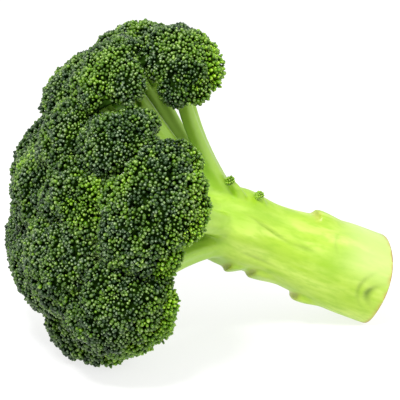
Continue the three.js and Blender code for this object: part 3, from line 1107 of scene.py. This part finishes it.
@dataclass(frozen=True)
class Clusters:
    """Packs buds on tufts and makes the flesh under them, which is coloured near black as the painted shade
    between the buds.
    """

    lobes: Lobes
    tufts: Tufts
    plan: BudPlan
    head: HeadFrame
    freshness: Freshness = Freshness()
    flesh: FleshPlan = FleshPlan()

    def buds(self, owner: int) -> Buds:
        """The buds of one floret: spread evenly over each of its tufts, but not where another tuft is.

        Args:
            owner: the floret's number.

        Returns:
            Its buds.
        """
        plan = self.plan
        random = np.random.default_rng(SEED + Draws.BUDS + owner)
        mine = np.flatnonzero(self.tufts.owner == owner)
        centres, axes, radii = self.tufts.centres[mine], self.tufts.normals[mine], self.tufts.radii[mine]
        rays = spread(room_on_sphere(radii.mean(), plan.spacing))
        rays = rays[rays[:, 2] > plan.lowest]
        rays = unit(rays + random.normal(scale=plan.jitter, size=(len(mine), len(rays), 3)))
        rays = turned(rays, axes[:, None], random.uniform(0.0, 2.0 * np.pi, (len(mine), 1)))
        reach = radii[:, None] + random.uniform(-1.0, 1.0, rays.shape[:2]) * plan.loose
        points = (centres[:, None] + reach[..., None] * rays).reshape(-1, 3)
        own = np.repeat(np.arange(len(mine)), rays.shape[1])
        gaps = distances(points, self.tufts.centres) - self.tufts.radii
        gaps[np.arange(len(points)), mine[own]] = np.inf
        free = (gaps.min(axis=1) > plan.crowding) & (self.head.above_floor(points) > plan.floor_gap)
        points, rays, own = points[free], rays.reshape(-1, 3)[free], own[free]
        outward = self.lobes.normals[self.tufts.lobe[mine[own]]]
        count = len(points)
        wobble = random.normal(scale=plan.lean, size=rays.shape)
        normals = unit((1.0 - plan.outward) * rays + plan.outward * outward + wobble)
        sizes = 1.0 + 0.12 * ripple(points, 22.0, 3) + random.normal(scale=plan.size_spread, size=count)
        rim = self._rim(outward)
        sizes = np.clip(sizes, *plan.size_limits) * (1.0 - plan.rim_shrink * rim)
        heights = random.uniform(*plan.heights, count)
        heights = heights + plan.rim_height * rim * random.uniform(0.0, 1.0, count)
        points = points + rim[:, None] * random.uniform(0.0, plan.rim_rise, (count, 1)) * rays
        tuft_tone = random.uniform(*self.freshness.tuft, len(mine))[own]
        fresh = np.clip(self._fresh(points, rays, outward, random) + tuft_tone, 0.0, 1.0)
        # how far each bud's tip climbs the ramp towards the pale grey wax and painted highlight
        mean, bloom_and_highlight_spread = plan.bloom_and_highlight
        bloom_and_highlight = mean + 0.08 * ripple(points, 30.0, 9) + random.normal(scale=bloom_and_highlight_spread, size=count)
        return Buds(points, normals, sizes, heights, fresh, np.clip(bloom_and_highlight, plan.least_bloom_and_highlight, 1.0))

    @staticmethod
    def _rim(outward: np.ndarray) -> np.ndarray:
        """1 on lobes that face down to the stalk, where buds are young and stand apart, and 0 on the rest."""
        return 1.0 - smoothstep(outward[:, 2], -0.60, 0.12)

    def _fresh(
        self, points: np.ndarray, rays: np.ndarray, outward: np.ndarray, random: np.random.Generator
    ) -> np.ndarray:
        """How young each bud looks: fresher down a lobe's side, at the crown's rim and in soft patches.

        Args:
            points: where they are.
            rays: the way they stand on their tuft.
            outward: the way their lobe faces.
            random: for bud to bud differences.

        Returns:
            Numbers that are mostly from 0 to 1.
        """
        side = 1.0 - smoothstep((rays * outward).sum(axis=-1), -0.1, 0.75)
        patches = smoothstep(ripple(points, 40.0, 5), 0.15, 0.9)
        share = self.freshness
        wild = np.abs(random.normal(scale=share.wild, size=len(points)))
        return share.side * side + share.rim * self._rim(outward) + share.patch * patches + wild + share.base

    def build_flesh(
        self, crown: Crown, places: Sequence[FloretPlace], finish: bpy.types.Material
    ) -> bpy.types.Object:
        """The flesh that the buds stand on: a dome in each lobe, and a flatter one in each floret's middle.

        Args:
            crown: the crown's shape.
            places: every floret.
            finish: of the flesh, a near-black painted shade.

        Returns:
            One piece for the whole crown.
        """
        plan = self.flesh
        surfaces = Surfaces()
        radii = self.lobes.radii - plan.depth
        angles = np.radians(plan.lobe_rings)
        lifts = (np.cos(angles)[:, None] * self.lobes.normals[:, None]) * radii[:, None, None]
        widths = np.sin(angles) * radii[:, None]
        points = tubes(self.lobes.centres[:, None] + lifts, widths, plan.lobe_sides)
        surfaces.add(points, *tube_faces(len(radii), len(angles), plan.lobe_sides), np.zeros(2))
        for place in places:
            self._add_filler(surfaces, crown, place)
        return surfaces.to_object("crown_flesh_shade", self.head, finish)

    def _add_filler(self, surfaces: Surfaces, crown: Crown, place: FloretPlace) -> None:
        """Adds the flesh of a floret's middle: the floret's own dome made smaller, with a flat underside."""
        plan = self.flesh
        angles = np.radians(plan.filler_rings)[:, None, None]
        turn = circle(plan.filler_sides)[:, None]
        aside = np.cos(turn) * place.across + np.sin(turn) * place.along
        dome, _ = crown.surface(place, np.cos(angles) * place.facing + np.sin(angles) * aside)
        offset = plan.filler * (dome - place.middle)
        sunk = np.minimum(offset @ place.facing - plan.ceiling, 0.0)
        rings = place.middle + offset - sunk[..., None] * place.facing
        points = np.concatenate([rings.reshape(-1, 3), rings[[0, -1]].mean(axis=1)])
        surfaces.add(points, *tube_faces(1, len(rings), plan.filler_sides), np.zeros(2))


# ---------------------------------------------------------------- stems


@dataclass(frozen=True)
class StemPlan:
    """Sizes of the stems between a branch and its lobes."""

    sides: int = 16
    ribs: int = 8
    shares: tuple[float, ...] = (0.0, 0.2, 0.42, 0.6, 0.74, 0.86, 0.95, 1.0)
    twig: float = 1.5  # radius of the stem under one lobe
    limb: float = 2.9  # radius of a stem that carries several
    limb_share: float = 0.45  # a limb ends this far on the way to its lobes
    limb_counts: tuple[int, int] = (6, 4)  # limbs of a floret at the rim, and of one in the crown's middle
    limb_gaps: tuple[float, float] = (3.9, 3.0)  # and how far from the branch's line they leave it
    limb_spread: tuple[float, float] = (0.82, 1.18)  # thinnest and thickest, over the mean
    twig_spread: tuple[float, float] = (0.8, 1.2)
    fan: float = 0.9  # how wide a twig ends, over its lobe's radius
    rib_depths: tuple[float, float] = (0.05, 0.12)  # at a twig's foot, and added in its fan


@dataclass(frozen=True)
class FloretStems:
    """The stems of one floret: a few limbs out of its branch, and a twig from a limb to each lobe."""

    place: FloretPlace
    centres: np.ndarray
    normals: np.ndarray
    radii: np.ndarray
    owner: int
    plan: StemPlan

    @classmethod
    def of(cls, place: FloretPlace, lobes: Lobes, owner: int, plan: StemPlan) -> FloretStems:
        """The stems that carry one floret's lobes."""
        mine = lobes.owner == owner
        return cls(place, lobes.centres[mine], lobes.normals[mine], lobes.radii[mine], owner, plan)

    def limb_ends(self) -> tuple[np.ndarray, np.ndarray]:
        """Where the limbs end, and which limb each lobe grows from.

        Directions spread over the floret's dome gather the lobes nearest to them, and a limb ends part of the
        way from the branch's end to the mean of its lobes.

        Returns:
            (n, 3) ends, and for each lobe the number of its limb.
        """
        foot = self.place.branch[2]
        count = self.plan.limb_counts[int(self.place.plan.inner)]
        rays = spread(2 * count)[:count] + np.array([0.0, 0.0, 0.3])
        first, second = self.place.across, self.place.along
        seeds = unit(rays[:, :1] * first + rays[:, 1:2] * second + rays[:, 2:] * self.place.facing)
        nearest = (unit(self.centres - foot) @ seeds.T).argmax(axis=1)
        used, group = np.unique(nearest, return_inverse=True)
        means = np.stack([self.centres[group == k].mean(axis=0) for k in range(len(used))])
        return foot + self.plan.limb_share * (means - foot), group

    def limbs(self) -> tuple[np.ndarray, np.ndarray]:
        """The limbs, which leave the branch side by side and part towards their ends.

        Returns:
            (n, rings, 3) lines and (n, rings) radii.
        """
        random = np.random.default_rng(SEED + Draws.LIMBS + self.owner)
        ends, _ = self.limb_ends()
        share = np.linspace(0.0, 1.0, 16)
        line = bezier(self.place.branch, np.array([0.18, 0.55, 0.85]))
        outward = ends - self.place.branch[2]
        aside = outward - self.place.facing * (outward @ self.place.facing)[:, None]
        aside = aside / max(float(np.linalg.norm(aside, axis=1).max()), 1.0)
        gap = self.plan.limb_gaps[int(self.place.plan.inner)]
        controls = [line[0] + 0.8 * gap * aside, line[1] + gap * aside, line[2] + (gap + 1.0) * aside, ends]
        radii = self.plan.limb * np.interp(share, (0.0, 0.35, 0.75, 1.0), (1.0, 1.0, 0.9, 0.75))
        radii = radii * random.uniform(*self.plan.limb_spread, (len(ends), 1))
        return bezier(np.stack(controls, axis=1), share), radii

    def add_twigs(self, surfaces: Surfaces) -> None:
        """Adds a twig to each lobe, which flares under it into a ribbed fan of the finest stems.

        Args:
            surfaces: the piece that they join.
        """
        random = np.random.default_rng(SEED + Draws.TWIGS + self.owner)
        ends, group = self.limb_ends()
        starts = ends[group]
        share = np.array(self.plan.shares)
        count, sides = len(self.centres), self.plan.sides
        reach = np.linalg.norm(self.centres - starts, axis=1, keepdims=True)
        back = unit(starts - self.place.branch[2])
        under = self.centres - 0.45 * reach * self.normals
        controls = np.stack([starts - 3.0 * back, starts + 0.3 * reach * back, under, self.centres], axis=1)
        flare = smoothstep(share, 0.5, 1.0) ** 1.6
        width = self.plan.twig * (1.15 - 0.3 * share) * random.uniform(*self.plan.twig_spread, (count, 1))
        width = width * (1.0 - flare) + self.plan.fan * self.radii[:, None] * flare
        at_foot, added = self.plan.rib_depths
        ribs = 1.0 + (at_foot + added * flare)[None, :, None] * np.cos(self.plan.ribs * circle(sides))
        points = tubes(bezier(controls, share), width[..., None] * ribs, sides)
        quads, triangles = tube_faces(count, len(share), sides)
        tint = np.repeat(random.uniform(0.0, 1.0, count), len(share) * sides + 2)
        # each ring's place from foot to tip, which the stem finish darkens at the tip as painted shade under
        # the lobes
        foot_to_tip = np.tile(np.concatenate([np.repeat(0.25 + 0.75 * share, sides), (0.25, 1.0)]), count)
        surfaces.add(points, quads, triangles, np.stack([tint, foot_to_tip], axis=-1))


# ---------------------------------------------------------------- the stalk


@dataclass(frozen=True)
class Scar:
    """A mark on the stalk's skin."""

    azimuth: float
    height: float
    across: float  # half its width
    along: float  # half its length
    depth: float  # how deep it is cut, less than 0 for a raised patch
    # how much darker its skin is painted: a painted shade in a cut-in mark, none on a raised patch
    dark: float
    bow: float = 0.0  # how its sides bend up, less than 0 for down
    slant: float = 0.0  # how far it moves round the stalk for each millimetre up it

    def mark(self, azimuth: np.ndarray, height: np.ndarray, reach: np.ndarray) -> np.ndarray:
        """How strongly it shows at places on the skin.

        Args:
            azimuth: of each place, in degrees.
            height: of each place.
            reach: how far each place is from the axis.

        Returns:
            1 in its middle, down to 0 away from it.
        """
        apart = np.radians(wrapped(azimuth - self.azimuth)) * reach
        bowed = height - self.height - self.bow * apart**2
        aside = apart - self.slant * bowed
        return np.exp(-((aside / self.across) ** 2) - (bowed / self.along) ** 2)


SCARS: tuple[Scar, ...] = (
    Scar(-103.0, 9.0, 4.5, 2.0, 1.3, 0.85, -0.12),
    Scar(-98.0, 15.0, 7.0, 1.2, 0.5, 0.45, -0.06),
    Scar(-52.0, 27.0, 5.5, 7.5, -0.9, 0.0),
    Scar(-52.0, 34.5, 5.0, 1.0, 0.4, 0.25, -0.05),
    Scar(-67.0, 69.0, 0.8, 13.0, 1.0, 0.40, 0.0, 0.23),
    Scar(-75.0, 50.0, 0.9, 6.0, 0.6, 0.35),
    Scar(-118.0, 70.0, 0.9, 10.0, 0.5, 0.25, 0.0, 0.1),
    Scar(60.0, 34.0, 6.0, 1.6, 0.6, 0.5, -0.05),
    Scar(140.0, 22.0, 7.0, 1.6, 0.6, 0.4, -0.05),
    Scar(30.0, 60.0, 1.2, 11.0, 0.6, 0.35),
)


@dataclass(frozen=True)
class LeafStub:
    """What is left of a leaf's stem: a ramp that climbs towards the crown and ends in a step."""

    name: str
    azimuth: float
    foot: float  # height up the stalk where it starts
    length: float
    width: float
    height: float  # of its step
    root: float = 4.0  # how deep it reaches into the stalk

    def add_to(self, surfaces: Surfaces, stalk: StalkBody) -> None:
        """Adds a grid along it and round it, highest near its step and feathered at its foot and sides.

        Args:
            surfaces: the piece that it joins.
            stalk: the stalk that it stands on.
        """
        rings, sides = 22, 25
        along = np.linspace(0.0, 1.0, rings)[:, None] + np.zeros(sides)
        across = np.linspace(-1.0, 1.0, sides) + np.zeros((rings, 1))
        width = 0.5 * self.width * (0.45 + 0.55 * smoothstep(along, 0.0, 0.7))
        height = self.foot + self.length * along - 1.2 * across**2 * along
        azimuth = self.azimuth + np.degrees(width * across / stalk.plan.radius(height))
        rise = self.height * smoothstep(along, 0.0, 0.95) * (1.0 - 0.6 * np.abs(across) ** 3)
        fade = 1.0 - smoothstep(np.abs(across), 0.65, 1.0)
        base = stalk.radius(azimuth, height)
        outer = around_axis(base + rise * fade - 0.8 * (1.0 - fade), azimuth, height)
        inner = around_axis(base - self.root, azimuth, height - 2.0 * along)
        rows = np.concatenate([outer, inner[:, ::-1]], axis=1)
        points = np.concatenate([rows.reshape(-1, 3), rows[0].mean(0)[None], rows[-1].mean(0)[None]])
        surfaces.add(points, *tube_faces(1, rings, 2 * sides), np.zeros(2))

    def dryness(self, azimuth: np.ndarray, height: np.ndarray, radius: float) -> np.ndarray:
        """How dry the skin is: most at the step, where the leaf was cut away.

        Args:
            azimuth: of each place, in degrees.
            height: of each place.
            radius: the stalk's.

        Returns:
            1 at the step, down to 0 away from it.
        """
        apart = np.radians(wrapped(azimuth - self.azimuth)) * radius
        rise = height - self.foot - self.length
        return np.exp(-((apart / (0.42 * self.width)) ** 4) - (rise / 1.5) ** 2)


LEAF_STUBS: tuple[LeafStub, ...] = (
    LeafStub("leaf_stub_top", -8.0, 24.0, 20.0, 15.0, 3.0),
    LeafStub("leaf_stub_under", -170.0, 20.0, 18.0, 15.0, 3.2),
    LeafStub("leaf_stub_middle_under", -160.0, 45.0, 21.0, 15.0, 2.6),
    LeafStub("leaf_stub_upper_under", -156.0, 67.0, 13.0, 12.0, 3.0),
    LeafStub("leaf_stub_back", 98.0, 38.0, 20.0, 15.0, 3.0),
)


@dataclass(frozen=True)
class SideShoot:
    """A small late floret on a short stem that comes out of the stalk."""

    name: str
    azimuth: float
    root: float  # height up the stalk where it starts
    height: float  # and where its buds are
    distance: float  # of its buds from the axis
    width: float  # radius of its stem
    ball: float  # radius of its ball of buds
    rings: int = 10
    stem_sides: int = 14
    seats: int = 44  # places for buds on a whole ball
    lowest: float = -0.35  # cosine of the farthest angle from the way it faces
    jitter: float = 0.08  # how far the places are shifted
    sunk: float = 0.8  # how deep inside the ball its buds stand

    def path(self) -> np.ndarray:
        """The line of its stem, from inside the stalk up and out."""
        controls = [
            around_axis(self.distance - 9.0, self.azimuth, self.root),
            around_axis(self.distance - 2.0, self.azimuth, 0.5 * (self.root + self.height)),
            around_axis(self.distance, self.azimuth, self.height),
        ]
        return bezier(np.stack(controls), np.linspace(0.0, 1.0, self.rings))

    def add_stem(self, surfaces: Surfaces) -> None:
        """Adds the stem, widest at its foot.

        Args:
            surfaces: the piece that it joins.
        """
        share = np.linspace(0.0, 1.0, self.rings)
        radii = self.width * np.interp(share, (0.0, 0.5, 0.8, 1.0), (1.5, 0.95, 0.75, 0.85))
        faces = tube_faces(1, self.rings, self.stem_sides)
        surfaces.add(tubes(self.path()[None], radii[None], self.stem_sides), *faces, np.zeros(2))

    def build(self, head: HeadFrame, finish: bpy.types.Material) -> bpy.types.Object:
        """Its ball of buds.

        Args:
            head: where the head lies.
            finish: of the buds.

        Returns:
            The finished piece.
        """
        path = self.path()
        facing = unit(path[-1] - path[-3])
        random = np.random.default_rng(SEED + len(self.name))
        rays = spread(self.seats)
        rays = unit(rays[rays @ facing > self.lowest] + random.normal(scale=self.jitter, size=3))
        reach = self.ball - self.sunk
        count = len(rays)
        fresh = np.clip(0.85 + 0.4 * ripple(rays, 1.4, 6), 0.0, 1.0)
        # the side shoot's buds all climb to the pale tip with its painted highlight
        sizes, heights, bloom_and_highlight = random.uniform(0.6, 0.95, count), np.full(count, 1.1), np.ones(count)
        buds = Buds(path[-1] + reach * rays, rays, sizes, heights, fresh, bloom_and_highlight)
        ball = Surfaces()
        buds.add_to(ball, BudPlan(), SEED + len(self.name))
        angles = np.radians([165.0, 120.0, 80.0, 40.0, 12.0])
        line, radii, sides = path[-1] + np.cos(angles)[:, None] * facing * reach, np.sin(angles) * reach, 10
        faces = tube_faces(1, len(angles), sides)
        ball.add(tubes(line[None], radii[None], sides), *faces, np.array([0.9, 0.4]))
        piece = ball.to_object(f"{self.name}_head", head, finish)
        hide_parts(f"{self.name}_buds")
        return piece


SIDE_SHOOTS: tuple[SideShoot, ...] = (
    SideShoot("side_shoot_high", -26.0, 86.0, 98.0, 24.5, 2.3, 2.7),
    SideShoot("side_shoot_low", -22.0, 72.0, 79.0, 21.5, 2.2, 2.5),
)


@dataclass(frozen=True)
class StalkBody:
    """The stalk, branches, limbs, leaf stubs and side shoots' stems in one skin, with the cut face."""

    plan: StalkPlan
    stems: Sequence[FloretStems]
    head: HeadFrame
    grain: float = 0.95  # size of the skin's faces, in millimetres
    smoothing: int = 7
    rings: int = 90
    sides: int = 72
    limb_sides: int = 14
    trunk_sides: int = 20
    trunk_marks: tuple[float, ...] = (0.0, 0.3, 0.5, 0.62)  # shares of a branch's line, as far as it is thick
    trunk_radii: tuple[float, ...] = (7.2, 5.8, 4.8, 3.0)  # its radii there
    inner_radii: tuple[float, ...] = (6.0, 5.2, 4.4, 2.6)  # and those of a branch in the crown's middle
    run_on: float = 8.0  # how far the rough stalk runs past the cut
    wave: float = 0.35  # how far the skin stands out in soft waves
    edge: float = 1.4  # how far the browned rim of the cut reaches up the stalk
    greener: tuple[float, float] = (84.0, 118.0)  # heights between which the skin turns to a branch's green
    highlight_band: tuple[float, float] = (12.0, 40.0)  # and between which the painted highlight above the cut fades
    # the side round the stalk where the painted highlight is brightest, the upper front that faces the key
    # light
    highlight_azimuth: float = -38.0
    # how strong the painted highlight is at most
    painted_highlight: float = 0.60

    def radius(self, azimuth: np.ndarray, height: np.ndarray) -> np.ndarray:
        """The stalk's radius: its outline, a rib below each rim branch that swells towards it, and a corner.

        A rib is rib_height exp(-(angle / rib_width)^2), and it fades in up the stalk. The corner stands out
        in the same way near the cut.

        Args:
            azimuth: of each place, in degrees.
            height: of each place.

        Returns:
            A radius for each place.
        """
        ribs = np.zeros_like(height)
        for stems in self.stems:
            if not stems.place.plan.inner:
                apart = wrapped(azimuth - stems.place.plan.azimuth)
                ribs = ribs + np.exp(-((apart / self.plan.rib_width) ** 2))
        swell = self.plan.rib_height * smoothstep(height, 0.2 * self.plan.length, 0.7 * self.plan.length)
        apart = wrapped(azimuth - self.plan.corner_azimuth)
        corner = np.exp(-((apart / self.plan.corner_width) ** 2)) * (1.0 - smoothstep(height, 8.0, 60.0))
        waves = self.wave * ripple(around_axis(18.0, azimuth, 0.5 * height), 24.0, 8)
        return self.plan.radius(height) + swell * (ribs - 0.6) + waves + self.plan.corner * corner

    def _rough(self) -> bpy.types.Object:
        """The pieces, not yet grown together, with the stalk run on past the cut."""
        surfaces = Surfaces()
        rings, sides = self.rings, self.sides
        height = np.linspace(-self.run_on, self.plan.length, rings)[:, None] + np.zeros(sides)
        azimuth = np.arange(sides) * 360.0 / sides + np.zeros((rings, 1))
        skin = around_axis(self.radius(azimuth, height), azimuth, height).reshape(-1, 3)
        ends = np.array([[0.0, 0.0, -self.run_on], [0.0, 0.0, self.plan.length]])
        surfaces.add(np.concatenate([skin, ends]), *tube_faces(1, rings, sides), np.zeros(2))
        share = np.linspace(0.0, self.trunk_marks[-1], 14)
        paths = bezier(np.stack([stems.place.branch for stems in self.stems]), share)
        inner = np.array([stems.place.plan.inner for stems in self.stems])[:, None]
        thick = np.interp(share, self.trunk_marks, self.trunk_radii)
        thin = np.interp(share, self.trunk_marks, self.inner_radii)
        trunks = tubes(paths, np.where(inner, thin, thick), self.trunk_sides)
        surfaces.add(trunks, *tube_faces(len(paths), len(share), self.trunk_sides), np.zeros(2))
        for stems in self.stems:
            lines, radii = stems.limbs()
            faces = tube_faces(len(lines), lines.shape[1], self.limb_sides)
            surfaces.add(tubes(lines, radii, self.limb_sides), *faces, np.zeros(2))
        for shoot in SIDE_SHOOTS:
            shoot.add_stem(surfaces)
        for stub in LEAF_STUBS:
            stub.add_to(surfaces, self)
        faces = [np.concatenate(surfaces.quads).ravel(), np.concatenate(surfaces.triangles).ravel()]
        sizes = [np.full(len(faces[0]) // 4, 4), np.full(len(faces[1]) // 3, 3)]
        placed = MM * np.concatenate(surfaces.points)
        return mesh_object("stalk_rough", placed, np.concatenate(faces), np.concatenate(sizes), None)

    def _grown(self) -> tuple[np.ndarray, np.ndarray, np.ndarray]:
        """The rough pieces remeshed into one skin and smoothed.

        Returns:
            Points in millimetres, then the corners of the faces and how many each face has.
        """
        rough = self._rough()
        remesh = rough.modifiers.new("one_skin", "REMESH")
        remesh.mode = "VOXEL"
        remesh.voxel_size = self.grain * MM
        smooth = rough.modifiers.new("soften", "SMOOTH")
        smooth.factor = 0.5
        smooth.iterations = self.smoothing
        bpy.context.view_layer.update()
        mesh = bpy.data.meshes.new_from_object(rough.evaluated_get(bpy.context.evaluated_depsgraph_get()))
        points = np.empty(len(mesh.vertices) * 3, np.float32)
        corners = np.empty(len(mesh.loops), np.int32)
        sizes = np.empty(len(mesh.polygons), np.int32)
        mesh.vertices.foreach_get("co", points)
        mesh.loops.foreach_get("vertex_index", corners)
        mesh.polygons.foreach_get("loop_total", sizes)
        bpy.data.objects.remove(rough)
        bpy.data.meshes.remove(mesh)
        return points.reshape(-1, 3).astype(float) / MM, corners, sizes

    def build(self, finish: StalkFinish) -> bpy.types.Object:
        """The finished skin: flat at the cut, scarred, and with the numbers that colour it.

        Args:
            finish: of the skin.

        Returns:
            The finished piece.
        """
        points, corners, sizes = self._grown()
        azimuth = np.degrees(np.arctan2(points[:, 1], points[:, 0]))
        reach = np.hypot(points[:, 0], points[:, 1])
        face = self.plan.slope * points[:, 0]
        rim = self.radius(azimuth, np.zeros(len(points))) - reach
        on_stalk = reach > 0.8 * self.plan.radius(points[:, 2])
        # painted shade: each cut-in mark darkens the skin by its share
        dark = np.zeros(len(points))
        for scar_and_shade in SCARS:
            mark = scar_and_shade.mark(azimuth, points[:, 2], reach) * on_stalk
            points[:, :2] *= (1.0 - scar_and_shade.depth * mark / np.maximum(reach, 1.0))[:, None]
            dark = np.maximum(dark, scar_and_shade.dark * mark)
        beyond = points[:, 2] < face
        above = points[:, 2] - face
        points[:, 2] = np.where(beyond, face + 0.5 * smoothstep(rim, 5.0, 8.0), points[:, 2])
        seasoned = 0.5 + 0.5 * ripple(points, 6.0, 11)
        edge = np.exp(-((above / self.edge) ** 2)) * on_stalk * ~beyond * np.clip(seasoned, 0.0, 1.0)
        dry = sum(stub.dryness(azimuth, points[:, 2], self.plan.radii[2]) for stub in LEAF_STUBS) * on_stalk
        # painted highlight: paler skin above the cut, most on the side that faces the key light
        lit = np.cos(np.radians(azimuth - self.highlight_azimuth))
        painted_highlight = (1.0 - smoothstep(above, *self.highlight_band)) * smoothstep(lit, 0.4, 0.95)
        numbers = {
            "cut": np.where(beyond, np.clip(rim / self.plan.radii[0], 0.0, 1.0) + 0.02, 0.0),
            "limb": 0.9 * smoothstep(points[:, 2], *self.greener),
            "scar_and_shade": dark,
            "dry": np.clip(0.4 * dry + 0.95 * edge, 0.0, 1.0),
            "painted_highlight": self.painted_highlight * painted_highlight,
        }
        piece = mesh_object("stalk_body", self.head.to_row(points), corners, sizes, finish.material())
        for name, values in numbers.items():
            write_attribute(piece.data, name, values)
        piece.data.set_sharp_from_angle(angle=float(np.radians(65.0)))
        branches = (f"branch_{stems.place.plan.name}" for stems in self.stems)
        shoots = (f"{shoot.name}_stem" for shoot in SIDE_SHOOTS)
        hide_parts("stalk", *branches, *shoots, *(stub.name for stub in LEAF_STUBS))
        return piece


# ---------------------------------------------------------------- studio


@dataclass(frozen=True)
class SoftBox:
    """A square area light: azimuth and elevation as for the camera, distance and size in metres, watts."""

    name: str
    azimuth: float
    elevation: float
    distance: float
    size: float
    power: float


@dataclass(frozen=True)
class Studio:
    """A white table, soft lights and the camera."""

    azimuth: float = -20.0
    elevation: float = 17.5
    distance: float = 1.2
    lens: float = 222.5
    aim: tuple[float, float, float] = (-0.0017, 0.0, -0.0098)  # metres from the middle of the object's box
    world: float = 0.94
    table: float = 0.30  # how much light the table sends back
    glow: float = 0.76  # and how much it gives off itself
    boxes: tuple[SoftBox, ...] = (
        SoftBox("key", -38.0, 52.0, 1.0, 0.20, 9.5),
        SoftBox("fill", 60.0, 40.0, 1.3, 0.9, 1.5),
    )

    @staticmethod
    def direction(azimuth: float, elevation: float) -> Vector:
        """From the object towards a place seen at that azimuth and elevation, in degrees."""
        a, e = np.radians(azimuth), np.radians(elevation)
        return Vector((np.sin(a) * np.cos(e), -np.cos(a) * np.cos(e), np.sin(e)))

    def build(self) -> None:
        """Makes the floor, the lights, the world and the camera."""
        low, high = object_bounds()
        centre = (low + high) / 2
        self._floor()
        for box in self.boxes:
            data = bpy.data.lights.new(box.name, "AREA")
            data.size, data.energy = box.size, box.power
            offset = self.direction(box.azimuth, box.elevation) * box.distance
            self._stand(bpy.data.objects.new(box.name, data), centre, offset)
        world = bpy.data.worlds.new("studio")
        world.use_nodes = True
        world.node_tree.nodes["Background"].inputs["Color"].default_value = (1.0, 1.0, 1.0, 1.0)
        world.node_tree.nodes["Background"].inputs["Strength"].default_value = self.world
        bpy.context.scene.world = world
        data = bpy.data.cameras.new("camera")
        data.lens, data.clip_start, data.clip_end = self.lens, 0.05, 20.0
        camera = bpy.data.objects.new("camera", data)
        target = centre + Vector(self.aim)
        self._stand(camera, target, self.direction(self.azimuth, self.elevation) * self.distance)
        bpy.context.scene.camera = camera
        bpy.context.scene.view_settings.view_transform = "Standard"

    @staticmethod
    def _stand(thing: bpy.types.Object, target: Vector, offset: Vector) -> None:
        """Puts a light or the camera at an offset from its target, turned to look at it.

        Args:
            thing: the light or camera.
            target: what it looks at, in metres.
            offset: from the target to the thing.
        """
        thing.location = target + offset
        thing.rotation_mode = "QUATERNION"
        thing.rotation_quaternion = (-offset).to_track_quat("-Z", "Y")
        bpy.context.scene.collection.objects.link(thing)

    def _floor(self) -> None:
        """Makes a wide pale table top."""
        reach = 4.0
        points = np.array([[-reach, -reach, 0], [reach, -reach, 0], [reach, reach, 0], [-reach, reach, 0]])
        nodes = Nodes("table_white")
        nodes.shader.inputs["Base Color"].default_value = (self.table, self.table, self.table, 1.0)
        nodes.shader.inputs["Emission Color"].default_value = (1.0, 1.0, 1.0, 1.0)
        nodes.settle(Roughness=0.9, Specular_IOR_Level=0.0, Emission_Strength=self.glow)
        floor = mesh_object("table", points, np.arange(4), np.array([4]), nodes.material)
        floor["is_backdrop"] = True


# ---------------------------------------------------------------- assembly


def report(piece: bpy.types.Object) -> None:
    """Logs how big a piece is."""
    corners = np.empty(len(piece.data.polygons), np.int32)
    piece.data.polygons.foreach_get("loop_total", corners)
    log.info("%s: %d points, %d triangles", piece.name, len(piece.data.vertices), int((corners - 2).sum()))


def main() -> None:
    """Builds the head piece by piece, then the studio round it."""
    logging.basicConfig(level=logging.INFO, format="%(name)s: %(message)s")
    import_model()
    stalk_plan, crown_plan = StalkPlan(), CrownPlan()
    head = HeadFrame.of(stalk_plan, TILT)
    crown = Crown(crown_plan, stalk_plan)
    places = [crown.place(plan) for plan in FLORETS]
    lobes = Lobes.grow(crown, places, LobePlan(), head)
    tufts = Tufts.grow(lobes, TuftPlan())
    log.info("%d lobes, %d tufts", len(lobes.radii), len(tufts.radii))

    stems = [FloretStems.of(place, lobes, index, StemPlan()) for index, place in enumerate(places)]
    pieces = [StalkBody(stalk_plan, stems, head).build(StalkFinish(TILT))]
    stem_skin, bud_wax = StemFinish().material(), BudFinish().material()
    clusters = Clusters(lobes, tufts, BudPlan(), head)
    total = 0
    for index, place in enumerate(places):
        twigs = Surfaces()
        stems[index].add_twigs(twigs)
        piece = twigs.to_object(f"{place.plan.name}_twigs", head, stem_skin)
        pieces.append(piece)
        crowd = Surfaces()
        buds = clusters.buds(index)
        total += len(buds.points)
        buds.add_to(crowd, clusters.plan, SEED + Draws.BUD_TURNS + index)
        buds.add_pedicels(crowd, clusters.plan)
        piece = crowd.to_object(f"{place.plan.name}_buds", head, bud_wax)
        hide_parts(f"floret_{place.plan.name}")
        pieces.append(piece)
    log.info("%d buds", total)
    # the flesh under the buds carries the near-black painted shade of the gaps between them
    flesh = clusters.build_flesh(crown, places, GapShadeFinish().material())
    pieces.append(flesh)
    for shoot in SIDE_SHOOTS:
        pieces.append(shoot.build(head, bud_wax))

    for piece in pieces:
        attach(piece, BODY)
        report(piece)
    Studio().build()


if __name__ == "__main__":
    main()
